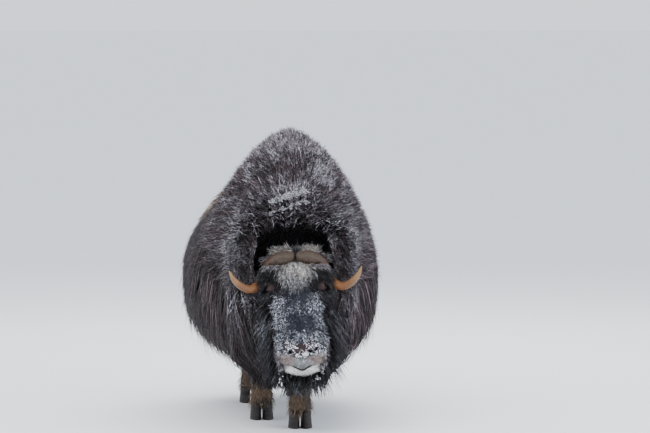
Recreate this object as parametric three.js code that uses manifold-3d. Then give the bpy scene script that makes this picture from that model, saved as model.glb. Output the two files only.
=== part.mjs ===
// A life-size muskox bull, walking with its head low, as a still museum model.
// Millimetres, +Z up, the animal faces -Y, its left side is +X, the origin is on the ground below its middle.
// The body, neck and mane follow one named envelope: coat 0 is the core of the coat and coat 1 its tips.

import * as THREE from "three";
import { mergeVertices } from "three/addons/utils/BufferGeometryUtils.js";
import Module from "manifold-3d";

const wasm = await Module();
wasm.setup();

// Driving sizes
const HUMP_HEIGHT = 1383;
const GAP = 0.35; // between touching pieces
const NECK_FACE_Y = -700; // the head and the mane meet the neck here
const SHOULDER_FACE_Y = -480;
const BARREL_FACE_Y = 40;
const RUMP_FACE_Y = 520;
const HOOD_FLOOR_Z = 870; // the top mane is above, the cheek manes below
const BEARD_TOP_Z = 560;
const HOOF_HEIGHT = 74;
const EYE_RADIUS = 19;
const HEAD_LENGTH = 535; // from the crown to the lips, along the face
const HEAD_PLACE = { x: -14, y: -880, z: 820 };
const HEAD_TURN = { pitch: -0.21, yaw: -0.087, roll: -0.035 };
const GIRTH_STEPS = 120;
const HEAD_RINGS = 18;
const HEAD_SIDES = 22;
const FAR = 3000;

/** One section of the body: the core's and the coat's sizes are each top, half width and lowest height. */
function row(at, reach, side, wide, upper, lower, [coreTop, coreHalf, coreLow], [top, half, hem]) {
  return { at, reach, side, wide, upper, lower, coreTop, coreHalf, coreLow, top, half, hem };
}

// Body sections. at is the place of the core's section, reach how far the coat's own section lies beyond it,
// side how far the section's middle is to the left, wide the height of its widest line, and upper and lower how
// blunt its two halves are. The coat's sizes are those out to the tips of the hair.
const BODY = [
  row(-835, -50, -24, 765, 2.5, 2.4, [905, 180, 480], [990, 238, 300]),
  row(-795, -52, -22, 765, 2.5, 2.4, [1000, 238, 415], [1050, 274, 240]),
  row(-715, -25, -17, 760, 2.4, 2.8, [1062, 256, 400], [1122, 306, 200]),
  row(-600, 0, -8, 745, 2.1, 3.1, [1140, 274, 400], [1205, 334, 200]),
  row(-480, 0, 0, 725, 1.85, 3.2, [1230, 298, 402], [1296, 364, 206]),
  row(-280, 0, 6, 708, 1.6, 3.2, [HUMP_HEIGHT - 60, 354, 405], [HUMP_HEIGHT, 420, 214]),
  row(0, 0, 2, 700, 1.45, 3.2, [1238, 390, 405], [1300, 460, 222]),
  row(300, 0, 0, 692, 1.5, 3.2, [1176, 402, 410], [1238, 472, 230]),
  row(600, 0, 0, 685, 1.55, 3.1, [1140, 386, 420], [1200, 456, 240]),
  row(800, 20, 0, 685, 1.7, 2.8, [1075, 318, 438], [1140, 388, 268]),
  row(905, 65, 0, 690, 1.9, 2.6, [990, 225, 470], [1055, 290, 292]),
  row(955, 95, 0, 700, 2.1, 2.4, [880, 95, 530], [945, 140, 335]),
];
const FRONT_Y = BODY[0].at;
const REAR_Y = BODY[BODY.length - 1].at;

// The hollow of the mane that the head stands in
const HOLLOW = { x: -18, wide: 770, half: 172, halfAtRim: 190, top: 925, topAtRim: 945, low: 645, shape: 2.5, rimY: -960 };

// Head sections down the face: front and back are the depths of its two sides from the crown's own middle
const HEAD = [
  { at: -34, half: 74, front: -44, back: -180, blunt: 2.3 },
  { at: -20, half: 100, front: -24, back: -208, blunt: 2.4 },
  { at: 20, half: 122, front: 4, back: -238, blunt: 2.6 },
  { at: 80, half: 131, front: 32, back: -250, blunt: 2.7 },
  { at: 150, half: 129, front: 46, back: -244, blunt: 2.8 },
  { at: 220, half: 124, front: 54, back: -222, blunt: 2.6 },
  { at: 300, half: 120, front: 62, back: -190, blunt: 2.5 },
  { at: 370, half: 117, front: 68, back: -155, blunt: 2.5 },
  { at: 425, half: 115, front: 72, back: -125, blunt: 2.6 },
  { at: 468, half: 107, front: 66, back: -100, blunt: 2.6 },
  { at: 502, half: 84, front: 50, back: -78, blunt: 2.4 },
  { at: 524, half: 54, front: 30, back: -54, blunt: 2.2 },
  { at: HEAD_LENGTH, half: 24, front: 8, back: -30, blunt: 2 },
];

// Small helpers

/** A seeded draw between 0 and 1. */
function drawsFrom(seed) {
  let state = seed;
  return () => {
    state = (state + 0x6d2b79f5) | 0;
    let t = Math.imul(state ^ (state >>> 15), 1 | state);
    t = (t + Math.imul(t ^ (t >>> 7), 61 | t)) ^ t;
    return ((t ^ (t >>> 14)) >>> 0) / 4294967296;
  };
}

const mix = (a, b, t) => a + (b - a) * t;
const clamp01 = (t) => Math.min(1, Math.max(0, t));
const smooth = (t) => clamp01(t) ** 2 * (3 - 2 * clamp01(t));

/** The value of one size at a place, on a smooth line through the rows that never overshoots them. */
function sizeAt(rows, key, at) {
  if (at <= rows[0].at) return rows[0][key];
  if (at >= rows[rows.length - 1].at) return rows[rows.length - 1][key];
  let i = 0;
  while (rows[i + 1].at < at) i++;
  const slope = (j) => (rows[j + 1][key] - rows[j][key]) / (rows[j + 1].at - rows[j].at);
  const tangent = (j) => {
    if (j === 0) return slope(0);
    if (j === rows.length - 1) return slope(j - 1);
    const before = slope(j - 1);
    const after = slope(j);
    return before * after <= 0 ? 0 : (2 * before * after) / (before + after);
  };
  const width = rows[i + 1].at - rows[i].at;
  const t = (at - rows[i].at) / width;
  return (
    (1 + 2 * t) * (1 - t) ** 2 * rows[i][key] +
    t * (1 - t) ** 2 * width * tangent(i) +
    t * t * (3 - 2 * t) * rows[i + 1][key] +
    t * t * (t - 1) * width * tangent(i + 1)
  );
}

/** A point of a blunt oval: angle 0 is its top and a quarter turn its +X side. */
function ovalPoint(angle, half, up, down, upper, lower) {
  const s = Math.sin(angle);
  const c = Math.cos(angle);
  const power = 2 / (c >= 0 ? upper : lower);
  return {
    x: half * Math.sign(s) * Math.abs(s) ** power,
    z: (c >= 0 ? up : down) * Math.sign(c) * Math.abs(c) ** power,
  };
}

// Solids

/** A closed surface over rings of equal length, each end closed by a fan: the last one can come to a tip. */
function ringSkin(rings, tip = null) {
  const count = rings[0].length;
  const points = rings.flat();
  const faces = [];
  for (let r = 0; r < rings.length - 1; r++)
    for (let i = 0; i < count; i++) {
      const a = r * count + i;
      const b = r * count + ((i + 1) % count);
      faces.push(a, b, b + count, a, b + count, a + count);
    }
  const cap = (ring, first, turned, end) => {
    points.push(end ?? ring.reduce((sum, p) => sum.add(p), new THREE.Vector3()).divideScalar(count));
    for (let i = 0; i < count; i++) {
      const pair = [first + i, first + ((i + 1) % count)];
      if (turned) pair.reverse();
      faces.push(points.length - 1, ...pair);
    }
  };
  cap(rings[0], 0, true, null);
  cap(rings[rings.length - 1], (rings.length - 1) * count, false, tip);
  const geometry = new THREE.BufferGeometry().setFromPoints(points);
  geometry.setIndex(faces);
  return geometry;
}

/** A closed geometry as a solid, with its faces pointing out. */
function solidOf(geometry) {
  const bare = geometry.clone();
  bare.deleteAttribute("normal");
  bare.deleteAttribute("uv");
  const merged = mergeVertices(bare, 1e-3);
  const triVerts = new Uint32Array(merged.index.array).filter((_, i, all) => {
    const t = i - (i % 3);
    return all[t] !== all[t + 1] && all[t + 1] !== all[t + 2] && all[t] !== all[t + 2];
  });
  const vertProperties = merged.attributes.position.array;
  const make = () => new wasm.Manifold(new wasm.Mesh({ numProp: 3, vertProperties, triVerts }));
  let made = make();
  if (made.volume() < 0) {
    for (let i = 0; i < triVerts.length; i += 3) [triVerts[i + 1], triVerts[i + 2]] = [triVerts[i + 2], triVerts[i + 1]];
    made = make();
  }
  return made;
}

/** A solid as a geometry that a mesh can hold. */
function geometryOf(solid) {
  const mesh = solid.getMesh();
  const positions = new Float32Array(mesh.numVert * 3);
  for (let i = 0; i < mesh.numVert; i++) positions.set(mesh.vertProperties.subarray(i * mesh.numProp, i * mesh.numProp + 3), i * 3);
  const geometry = new THREE.BufferGeometry().setAttribute("position", new THREE.BufferAttribute(positions, 3));
  geometry.setIndex(new THREE.BufferAttribute(new Uint32Array(mesh.triVerts), 1));
  geometry.computeVertexNormals();
  return geometry;
}

/** The largest closed body of a solid: a loose scrap is dropped and a sealed hollow is filled. */
function largestOf(solid) {
  return solid.decompose().reduce((best, piece) => (piece.volume() > best.volume() ? piece : best));
}

const joined = (solids) => solids.reduce((sum, piece) => sum.add(piece));
const without = (solid, cutters) => cutters.reduce((left, cutter) => left.subtract(cutter), solid);

/** A block between two corners. */
function blockBetween(low, high) {
  const size = new THREE.Vector3().subVectors(high, low);
  const middle = new THREE.Vector3().addVectors(low, high).multiplyScalar(0.5);
  return solidOf(new THREE.BoxGeometry(size.x, size.y, size.z).translate(middle.x, middle.y, middle.z));
}

/** The part of space between two places along Y, each pulled in by half a gap, and between two heights. */
function slabOf(fromY, toY, lowZ = -FAR, highZ = FAR, fromX = -FAR, toX = FAR) {
  const inset = GAP / 2;
  return blockBetween(
    new THREE.Vector3(fromX + inset, fromY + inset, lowZ + inset),
    new THREE.Vector3(toX - inset, toY - inset, highZ - inset),
  );
}

/** A ball stretched to three radii. */
function ballOf(centre, radii, turn = new THREE.Euler(), around = 14, high = 8) {
  const geometry = new THREE.SphereGeometry(1, around, high).scale(radii.x, radii.y, radii.z);
  geometry.applyMatrix4(new THREE.Matrix4().makeRotationFromEuler(turn));
  return solidOf(geometry.translate(centre.x, centre.y, centre.z));
}

/** A solid of oval rings along a path: each stop has a half width along its wide direction and a half thickness. */
function ovalAlong(stops, wideAxis, around, steps, grow = 0) {
  const path = new THREE.CatmullRomCurve3(stops.map((s) => s.point), false, "centripetal");
  const rings = [];
  for (let i = 0; i <= steps; i++) {
    const t = i / steps;
    const centre = path.getPoint(t);
    const tangent = path.getTangent(t);
    const k = Math.min(stops.length - 2, Math.floor(t * (stops.length - 1)));
    const f = smooth(t * (stops.length - 1) - k);
    const wide = mix(stops[k].wide, stops[k + 1].wide, f) + grow;
    const thick = mix(stops[k].thick, stops[k + 1].thick, f) + grow;
    const across = wideAxis.clone().addScaledVector(tangent, -wideAxis.dot(tangent)).normalize();
    const through = new THREE.Vector3().crossVectors(tangent, across);
    const ring = [];
    for (let j = 0; j < around; j++) {
      const a = (j / around) * 2 * Math.PI;
      ring.push(
        centre
          .clone()
          .addScaledVector(across, Math.cos(a) * wide)
          .addScaledVector(through, Math.sin(a) * thick),
      );
    }
    rings.push(ring);
  }
  return solidOf(ringSkin(rings));
}

// Body envelope

/** A point of the body at a section, an angle from its top and a share of the coat's depth, grown by a few tenths. */
function pointAtAngle(at, angle, coat, grow = 0) {
  const size = (key) => sizeAt(BODY, key, at);
  const wide = size("wide");
  const half = mix(size("coreHalf"), size("half"), coat) + grow;
  const up = mix(size("coreTop"), size("top"), coat) - wide + grow;
  const down = wide - mix(size("coreLow"), size("hem"), coat) + grow;
  const p = ovalPoint(angle, half, up, down, size("upper"), size("lower"));
  return new THREE.Vector3(size("side") + p.x, at + size("reach") * coat, wide + p.z);
}

const girths = new Map();

/** The distances along the coat's outline from the top line down one side, at even angles. */
function girthAt(at) {
  const key = Math.round(at);
  if (!girths.has(key)) {
    const lengths = [0];
    let last = pointAtAngle(key, 0, 1);
    for (let i = 1; i <= GIRTH_STEPS; i++) {
      const next = pointAtAngle(key, (i / GIRTH_STEPS) * Math.PI, 1);
      lengths.push(lengths[i - 1] + next.distanceTo(last));
      last = next;
    }
    girths.set(key, lengths);
  }
  return girths.get(key);
}

/** A point of the body by its share of the way from the top line down to the middle of the belly. */
function bodyPoint(at, share, coat, grow = 0) {
  const lengths = girthAt(at);
  const wanted = Math.min(1, Math.abs(share)) * lengths[GIRTH_STEPS];
  let i = 1;
  while (i < GIRTH_STEPS && lengths[i] < wanted) i++;
  const between = (wanted - lengths[i - 1]) / (lengths[i] - lengths[i - 1]);
  const angle = ((i - 1 + between) / GIRTH_STEPS) * Math.PI;
  return pointAtAngle(at, share < 0 ? -angle : angle, coat, grow);
}

/** The body between two sections, at a share of the coat's depth. */
function bodySolid(fromAt, toAt, coat, grow = 0, around = 20, spacing = 126) {
  const steps = Math.max(2, Math.round((toAt - fromAt) / spacing));
  const rings = [];
  for (let i = 0; i <= steps; i++) {
    const at = mix(fromAt, toAt, i / steps);
    const ring = [];
    for (let j = 0; j < around; j++) {
      const share = (2 * j) / around;
      ring.push(bodyPoint(at, share <= 1 ? share : share - 2, coat, grow));
    }
    rings.push(ring);
  }
  return solidOf(ringSkin(rings));
}

// Coat

/** A flat tapered lock from its root to its tip: the points run along the low ridge of its outer side. */
function lockSolid(points, outward, half, thick, shape) {
  const rings = [];
  for (let i = 0; i < points.length - 1; i++) {
    const ahead = new THREE.Vector3().subVectors(points[i + 1], points[Math.max(0, i - 1)]).normalize();
    const across = new THREE.Vector3().crossVectors(ahead, outward[i]).normalize();
    const out = new THREE.Vector3().crossVectors(across, ahead).normalize();
    const w = half * shape[i];
    const t = thick * Math.sqrt(shape[i]);
    rings.push([
      points[i].clone().addScaledVector(across, w).addScaledVector(out, -t),
      points[i],
      points[i].clone().addScaledVector(across, -w).addScaledVector(out, -t),
    ]);
  }
  return solidOf(ringSkin(rings, points[points.length - 1]));
}

/** The way out of the body at a point of its envelope. */
function outwardAt(at, share, coat) {
  const side = share < 0 ? -1 : 1;
  const along = bodyPoint(at + 6, share, coat).sub(bodyPoint(at - 6, share, coat));
  const down = bodyPoint(at, share + 0.01 * side, coat).sub(bodyPoint(at, share - 0.01 * side, coat));
  return new THREE.Vector3().crossVectors(down, along).multiplyScalar(side).normalize();
}

/** A lock that lies along the body: turn is how far its lie is from straight down towards the rear. */
function lyingLock(at, share, look, draw) {
  const side = share < 0 ? -1 : 1;
  const length = look.length * mix(0.88, 1.12, draw());
  const bend = look.bend * (draw() - 0.5);
  let turn = look.turn + look.stray * (draw() - 0.5);
  const reach = mix(look.reach - 0.12, look.reach, draw());
  const points = [];
  const outward = [];
  const steps = look.shape.length;
  for (let i = 0; i <= steps; i++) {
    const t = i / steps;
    const coat = mix(-0.3, reach, t ** look.rise);
    points.push(bodyPoint(at, share, coat));
    outward.push(outwardAt(at, share, coat));
    const step = length / steps;
    at = Math.max(FRONT_Y - 20, Math.min(REAR_Y - 8, at + step * Math.sin(turn)));
    share = side * Math.min(0.99, Math.abs(share + (side * step * Math.cos(turn)) / girthAt(at)[GIRTH_STEPS]));
    turn += bend;
  }
  return lockSolid(points, outward, look.half * mix(0.88, 1.1, draw()), look.thick, look.shape);
}

/** A lock that hangs from the belly. */
function hangingLock(at, share, look, draw) {
  const side = share < 0 ? -1 : 1;
  const sway = new THREE.Vector3(30 * (draw() - 0.5), 40 * (draw() - 0.3), 0);
  const reach = mix(look.reach - 0.15, look.reach, draw());
  const points = [];
  const outward = [];
  for (let i = 0; i <= look.shape.length; i++) {
    const t = i / look.shape.length;
    points.push(bodyPoint(at, share, mix(-0.35, reach, t)).addScaledVector(sway, t * t));
    outward.push(new THREE.Vector3(side, 0.4 * (draw() - 0.5), 0).normalize());
  }
  return lockSolid(points, outward, look.half, look.thick, look.shape);
}

/** Locks in staggered rows over one stretch of the body, on both sides or along the top line. */
function locksOver(fromAt, toAt, shares, look, seed, make = lyingLock) {
  const draw = drawsFrom(seed);
  const made = [];
  const count = Math.max(1, Math.round((toAt - fromAt) / look.spacing));
  shares.forEach((share, r) => {
    for (const side of share === 0 ? [1] : [-1, 1])
      for (let i = 0; i < count; i++) {
        const at = mix(fromAt, toAt, (i + (r % 2 ? 0.7 : 0.3) + 0.25 * (draw() - 0.5)) / count);
        made.push(make(at, side * (share + 0.02 * (draw() - 0.5)), { ...look, turn: look.lie(at, share) }, draw));
      }
  });
  return made;
}

/** Guard hair hangs like a robe: it runs back near the spine and turns down over the flanks and the rump. */
const guardLie = (at, share) => mix(1.1, 0.16, smooth(share / 0.3)) * (1 - 0.9 * smooth((at - 620) / 250));
/** The wool of the hump and neck has no strong lie, and runs a little forward towards the mane. */
const woolLie = (at, share) => mix(-0.2, 0.1, smooth((at + 700) / 500)) + 0.22 * Math.sin(at * 0.021 + share * 23);

// reach is the share of the coat's depth at a lock's tip, rise how fast it gets there, stray how far its lie
// varies, and shape its widths
const GUARD = {
  length: 420, half: 130, thick: 42, reach: 1.08, rise: 0.5, bend: 0.3, stray: 0.25, spacing: 250, lie: guardLie,
  shape: [0.65, 1, 0.75],
};
const SKIRT = { ...GUARD, length: 425, half: 132, spacing: 262, bend: 0.2, shape: [0.65, 1, 0.7] };
const WOOL = {
  length: 225, half: 106, thick: 58, reach: 1.14, rise: 0.4, bend: 0.5, stray: 0.4, spacing: 190, lie: woolLie,
  shape: [0.8, 1, 0.85],
};
const SPINE = {
  length: 265, half: 108, thick: 70, reach: 1.12, rise: 0.3, bend: 0.2, stray: 0.2, spacing: 205, lie: () => 1.5,
  shape: [0.85, 1, 0.85],
};
const BELLY = { half: 160, thick: 44, reach: 1, spacing: 400, lie: guardLie, shape: [0.8, 1, 0.6] };
const WOOL_ROWS = [0.015, 0.14, 0.27];
const GUARD_ROWS = [0.1, 0.29];
const SKIRT_ROWS = [0.43, 0.55];
const BELLY_ROWS = [0.86];
const WOOL_END_Y = -150;

/** A point of the mane's front or of the rump's end, at a share of the coat's depth. */
function endPoint(at, x, z, coat) {
  const size = (key) => sizeAt(BODY, key, at);
  const half = mix(size("coreHalf"), size("half"), coat) + 30;
  const wide = size("wide");
  const high = z > wide ? mix(size("coreTop"), size("top"), coat) - wide + 30 : wide - mix(size("coreLow"), size("hem"), coat) + 30;
  const r = (Math.abs(x / half) ** 2.4 + Math.abs((z - wide) / high) ** 2.4) ** (1 / 2.4);
  return new THREE.Vector3(size("side") + x, at + size("reach") * coat - Math.sign(at) * 70 * Math.min(1.15, r) ** 6, z);
}

/** A lock that hangs on the mane's front or on the rump's end. */
function endLock(at, x, z, spread, length, look, draw) {
  const points = [];
  const outward = [];
  for (let i = 0; i <= look.shape.length; i++) {
    const t = i / look.shape.length;
    points.push(endPoint(at, x + spread * t, z - length * t, mix(-0.3, 1, t ** 0.45)));
    outward.push(new THREE.Vector3(x / 900, Math.sign(at), 0.1).normalize());
  }
  return lockSolid(points, outward, look.half * mix(0.9, 1.1, draw()), look.thick, look.shape);
}

/** Locks on the front of the mane: on both cheeks and in the beard. */
function frontLocks() {
  const draw = drawsFrom(61);
  const made = [];
  const cheek = { half: 62, thick: 38, shape: [0.6, 1, 0.7] };
  const cheeks = [
    [198, [880, 690]],
    [242, [790, 640]],
  ];
  for (const side of [-1, 1])
    for (const [x, rows] of cheeks)
      for (const z of rows)
        made.push(endLock(FRONT_Y, side * x, z + 20 * draw(), side * 12 * (draw() - 0.7), 190 + 40 * draw(), cheek, draw));
  const beard = { half: 72, thick: 44, shape: [0.6, 1, 0.75] };
  for (let i = 0; i < 5; i++) {
    const x = mix(-176, 176, i / 4);
    const sway = 24 * (draw() - 0.5);
    made.push(endLock(FRONT_Y, x, 500 - 25 * draw(), sway - x * 0.12, 250 + 30 * draw() - Math.abs(x) * 0.25, beard, draw));
    if (i < 4)
      made.push(endLock(FRONT_Y, x + 36, 430 - 20 * draw(), sway - x * 0.14, 215 + 20 * draw() - Math.abs(x) * 0.3, beard, draw));
  }
  return made;
}

/** Locks on the end of the rump, on both sides of the tail. */
function rearLocks() {
  const draw = drawsFrom(71);
  const made = [];
  const look = { half: 88, thick: 50, shape: [0.7, 1, 0.75] };
  const columns = [
    [64, [905, 690]],
    [158, [840, 600]],
  ];
  for (const side of [-1, 1])
    for (const [x, rows] of columns)
      for (const z of rows) made.push(endLock(REAR_Y, side * x, z + 20 * draw(), side * 16 * draw(), 270 + 40 * draw(), look, draw));
  return made;
}

/** The hollow of the mane, from just ahead of the neck's face to beyond the rim. */
function hollowSolid() {
  const rings = [];
  const steps = 4;
  for (let i = 0; i <= steps; i++) {
    const t = i / steps;
    const y = mix(NECK_FACE_Y + 60, HOLLOW.rimY, t);
    const half = mix(HOLLOW.half, HOLLOW.halfAtRim, smooth(t * 1.4));
    const up = mix(HOLLOW.top, HOLLOW.topAtRim, smooth(t * 1.4)) - HOLLOW.wide;
    const ring = [];
    for (let j = 0; j < 28; j++) {
      const p = ovalPoint((j / 28) * 2 * Math.PI, half, up, HOLLOW.wide - HOLLOW.low, HOLLOW.shape, HOLLOW.shape);
      ring.push(new THREE.Vector3(HOLLOW.x + p.x, y, HOLLOW.wide + p.z));
    }
    rings.push(ring);
  }
  return solidOf(ringSkin(rings));
}

// Head, in its own frame: the crown at the origin, the face down -Z and looking along -Y

/** A point of the head's surface at a place down the face and an angle from its front. */
function headPoint(at, angle, grow = 0) {
  const size = (key) => sizeAt(HEAD, key, at);
  const widest = mix(size("back"), size("front"), 0.6);
  const p = ovalPoint(angle, size("half") + grow, size("front") - widest + grow, widest - size("back") + grow, size("blunt"), 2);
  return new THREE.Vector3(p.x, -(widest + p.z), -at);
}

/** The head's plain form. */
function headForm(grow = 0) {
  const rings = [];
  for (let i = 0; i <= HEAD_RINGS; i++) {
    const at = mix(HEAD[0].at - grow, HEAD_LENGTH + grow, i / HEAD_RINGS);
    const ring = [];
    for (let j = 0; j < HEAD_SIDES; j++) ring.push(headPoint(at, (j / HEAD_SIDES) * 2 * Math.PI, grow));
    rings.push(ring);
  }
  return solidOf(ringSkin(rings));
}

const EYE = { x: 116, y: -20, z: -148 };
const NOSTRIL = { x: 56, y: -72, z: -430 };
const MOUTH = { frontZ: -505, cornerZ: -425, cornerY: 16, frontY: -56, depth: 13, opening: 3.2 };

/** The place of a paired feature on one side: side is 1 for the animal's left and -1 for its right. */
const sided = (place, side) => new THREE.Vector3(place.x * side, place.y, place.z);

/** The brow, the socket's rim and the two lids round one eye, grown for clearance or with the slit between the lids. */
function orbitSolid(side, grow = 0) {
  const eye = sided(EYE, side);
  const rim = ballOf(
    new THREE.Vector3(eye.x - side * 22, eye.y + 24, eye.z + 6),
    new THREE.Vector3(33 + grow, 46 + grow, 46 + grow),
    new THREE.Euler(),
    12,
    7,
  );
  const lid = EYE_RADIUS + 4 + grow;
  const lids = ballOf(eye, new THREE.Vector3(lid, lid, lid), new THREE.Euler(), 12, 8);
  if (grow > 0) return rim.add(lids);
  const slit = ballOf(
    new THREE.Vector3(eye.x + side * 17, eye.y - 15, eye.z),
    new THREE.Vector3(18, 23, 10.5),
    new THREE.Euler(0.3, 0, 0),
    10,
    6,
  );
  return rim.add(lids).subtract(slit);
}

/** The comma-shaped opening of one nostril. */
function nostrilSolid(side) {
  const place = sided(NOSTRIL, side);
  const hole = ballOf(place, new THREE.Vector3(17, 17, 11), new THREE.Euler(0, side * 0.5, 0), 10, 8);
  const tail = ballOf(
    new THREE.Vector3(place.x + side * 16, place.y + 8, place.z + 10),
    new THREE.Vector3(7, 15, 13),
    new THREE.Euler(0, side * 0.6, 0),
    8,
    6,
  );
  return hole.add(tail);
}

/** The line of the mouth: a shallow groove round the muzzle, rising to its two corners. */
function mouthSolid() {
  const rise = MOUTH.cornerZ - MOUTH.frontZ;
  const run = MOUTH.cornerY - MOUTH.frontY;
  const length = Math.hypot(rise, run);
  const slab = new THREE.BoxGeometry(260, length + 60, MOUTH.opening, 1, 1, 1);
  slab.translate(0, -30, 0);
  slab.rotateX(Math.atan2(rise, run));
  slab.translate(0, (MOUTH.frontY + MOUTH.cornerY) / 2, (MOUTH.frontZ + MOUTH.cornerZ) / 2);
  return solidOf(slab).subtract(headForm(-MOUTH.depth));
}

/** The head with its brows, lids, nostrils and mouth, in its own frame. */
function headSolid() {
  const sides = [-1, 1];
  const flesh = joined([headForm(), ...sides.map((side) => orbitSolid(side)), noseSolid(), chinSolid()]);
  const sockets = sides.map((side) => {
    const r = EYE_RADIUS + GAP;
    return ballOf(sided(EYE, side), new THREE.Vector3(r, r, r), new THREE.Euler(), 14, 8);
  });
  return without(flesh, [...sockets, ...sides.map(nostrilSolid), mouthSolid()]);
}

/** The broad swell of the nose and the upper lip. */
function noseSolid() {
  const pad = ballOf(new THREE.Vector3(0, -46, -426), new THREE.Vector3(112, 34, 62), new THREE.Euler(), 16, 8);
  const lip = ballOf(new THREE.Vector3(0, -36, -468), new THREE.Vector3(100, 30, 34), new THREE.Euler(), 14, 6);
  return pad.add(lip);
}

/** The chin under the mouth. */
function chinSolid() {
  return ballOf(new THREE.Vector3(0, 8, -500), new THREE.Vector3(62, 44, 32), new THREE.Euler(), 12, 6);
}

/** One half of the boss with its horn, grown for clearance. */
function hornSolid(side, grow = 0) {
  const stop = (x, y, z, wide, thick) => ({ point: new THREE.Vector3(side * x, y, z), wide, thick });
  const stops = [
    stop(3.5, 34, -2, 70, 28),
    stop(50, 34, 0, 78, 34),
    stop(94, 33, -4, 70, 35),
    stop(124, 30, -26, 54, 33),
    stop(142, 30, -66, 40, 28),
    stop(154, 24, -106, 31, 25),
    stop(178, 8, -140, 24, 22),
    stop(214, -22, -156, 19, 19),
    stop(250, -54, -141, 16, 15.5),
    stop(277, -78, -106, 12, 11.5),
    stop(293, -92, -58, 3, 3),
  ];
  const horn = ovalAlong(stops, new THREE.Vector3(0, 1, 0), 10, 16, grow);
  const seam = side > 0 ? [2.2 - grow, FAR] : [-FAR, -2.2 + grow];
  return horn.intersect(blockBetween(new THREE.Vector3(seam[0], -FAR, -FAR), new THREE.Vector3(seam[1], FAR, FAR)));
}

/** One ear: a leaf with a cup in its front, on a short stalk. */
function earSolid(side, grow = 0) {
  const place = new THREE.Vector3(side * 160, 122, -52);
  const turn = new THREE.Euler(0.2, side * -0.35, side * 0.1);
  const leaf = ballOf(place, new THREE.Vector3(58 + grow, 15 + grow, 32 + grow), turn, 12, 6);
  const stalk = ballOf(new THREE.Vector3(side * 112, 122, -62), new THREE.Vector3(34 + grow, 17 + grow, 20 + grow), undefined, 7, 5);
  if (grow > 0) return leaf.add(stalk);
  const cup = ballOf(new THREE.Vector3(place.x + side * 8, place.y - 12, place.z + 1), new THREE.Vector3(43, 15, 21), turn, 10, 6);
  return leaf.add(stalk).subtract(cup);
}

// Legs and hooves, each in a frame whose origin is on the ground below the hoof

/** The hoof: two toes parted by a cleft at the front. */
function hoofSolid() {
  const rings = [];
  const steps = 3;
  for (let i = 0; i <= steps; i++) {
    const t = i / steps;
    const half = mix(58, 46, t ** 0.8);
    const front = mix(70, 48, t);
    const back = mix(52, 46, t);
    const ring = [];
    for (let j = 0; j < 18; j++) {
      const p = ovalPoint((j / 18) * 2 * Math.PI, half, front, back, 2.2, 2.4);
      ring.push(new THREE.Vector3(p.x, -p.z, t * HOOF_HEIGHT));
    }
    rings.push(ring);
  }
  const body = solidOf(ringSkin(rings));
  const cleft = new THREE.Shape();
  cleft.moveTo(-6, -90);
  cleft.lineTo(6, -90);
  cleft.quadraticCurveTo(3, -20, 0, 26);
  cleft.quadraticCurveTo(-3, -20, -6, -90);
  const wedge = new THREE.ExtrudeGeometry(cleft, { depth: HOOF_HEIGHT - 8, bevelEnabled: false, curveSegments: 3 });
  wedge.rotateX(-0.12);
  wedge.translate(0, 0, -8);
  return body.subtract(solidOf(wedge));
}

/** A leg from a little above the hoof up into the body, with its dew claws. */
function legSolid(leg, grow = 0) {
  const stops = leg.stops.map(([x, y, z, wide, thick]) => ({ point: new THREE.Vector3(x, y, z), wide, thick }));
  const shank = ovalAlong(stops, new THREE.Vector3(0, 1, 0), 12, 8, grow);
  const claws = [-1, 1].map((side) =>
    ballOf(
      new THREE.Vector3(side * 22, 52, HOOF_HEIGHT + 34),
      new THREE.Vector3(11 + grow, 13 + grow, 19 + grow),
      new THREE.Euler(0.5, 0, 0),
      7,
      5,
    ),
  );
  return joined([shank, ...claws]).intersect(slabOf(-FAR, FAR, HOOF_HEIGHT + GAP, FAR));
}

// Each leg's stops are measured from its hoof: x, y, z, half depth along the animal, half width across it
const LEGS = {
  left_fore: {
    foot: { x: 30, y: -610 },
    stops: [
      [0, 4, 58, 56, 58],
      [0, 6, 106, 58, 60],
      [6, 22, 172, 50, 49],
      [24, 58, 270, 47, 46],
      [38, 84, 335, 56, 54],
      [60, 118, 430, 70, 62],
      [90, 170, 560, 98, 76],
      [110, 215, 680, 110, 80],
    ],
  },
  right_fore: {
    foot: { x: -122, y: -235 },
    stops: [
      [0, 4, 58, 56, 58],
      [0, 0, 106, 58, 60],
      [-2, -14, 172, 50, 49],
      [-8, -44, 270, 47, 46],
      [-12, -60, 335, 56, 54],
      [-20, -72, 430, 70, 62],
      [-30, -88, 560, 98, 76],
      [-30, -100, 680, 110, 80],
    ],
  },
  left_hind: {
    foot: { x: 128, y: 812 },
    stops: [
      [0, 4, 58, 54, 55],
      [0, 0, 106, 55, 56],
      [2, -4, 172, 47, 46],
      [8, 0, 280, 48, 45],
      [12, 8, 370, 62, 52],
      [22, -30, 450, 78, 60],
      [34, -80, 560, 110, 78],
      [40, -110, 680, 120, 86],
    ],
  },
  right_hind: {
    foot: { x: -124, y: 520 },
    stops: [
      [0, 4, 58, 54, 55],
      [0, 6, 106, 55, 56],
      [-2, 26, 172, 47, 46],
      [-8, 74, 280, 48, 45],
      [-12, 110, 370, 62, 52],
      [-22, 108, 450, 78, 60],
      [-34, 110, 560, 110, 78],
      [-40, 120, 680, 120, 86],
    ],
  },
};

/** The short tail, whose tuft just shows in the coat of the rump. */
function tailSolid(grow = 0) {
  const stops = [
    { point: new THREE.Vector3(0, 920, 905), wide: 30, thick: 24 },
    { point: new THREE.Vector3(0, 985, 885), wide: 30, thick: 26 },
    { point: new THREE.Vector3(0, 1032, 830), wide: 34, thick: 26 },
    { point: new THREE.Vector3(0, 1046, 760), wide: 30, thick: 22 },
    { point: new THREE.Vector3(0, 1050, 690), wide: 8, thick: 7 },
  ];
  return ovalAlong(stops, new THREE.Vector3(1, 0, 0), 8, 7, grow);
}

// Materials

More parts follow.
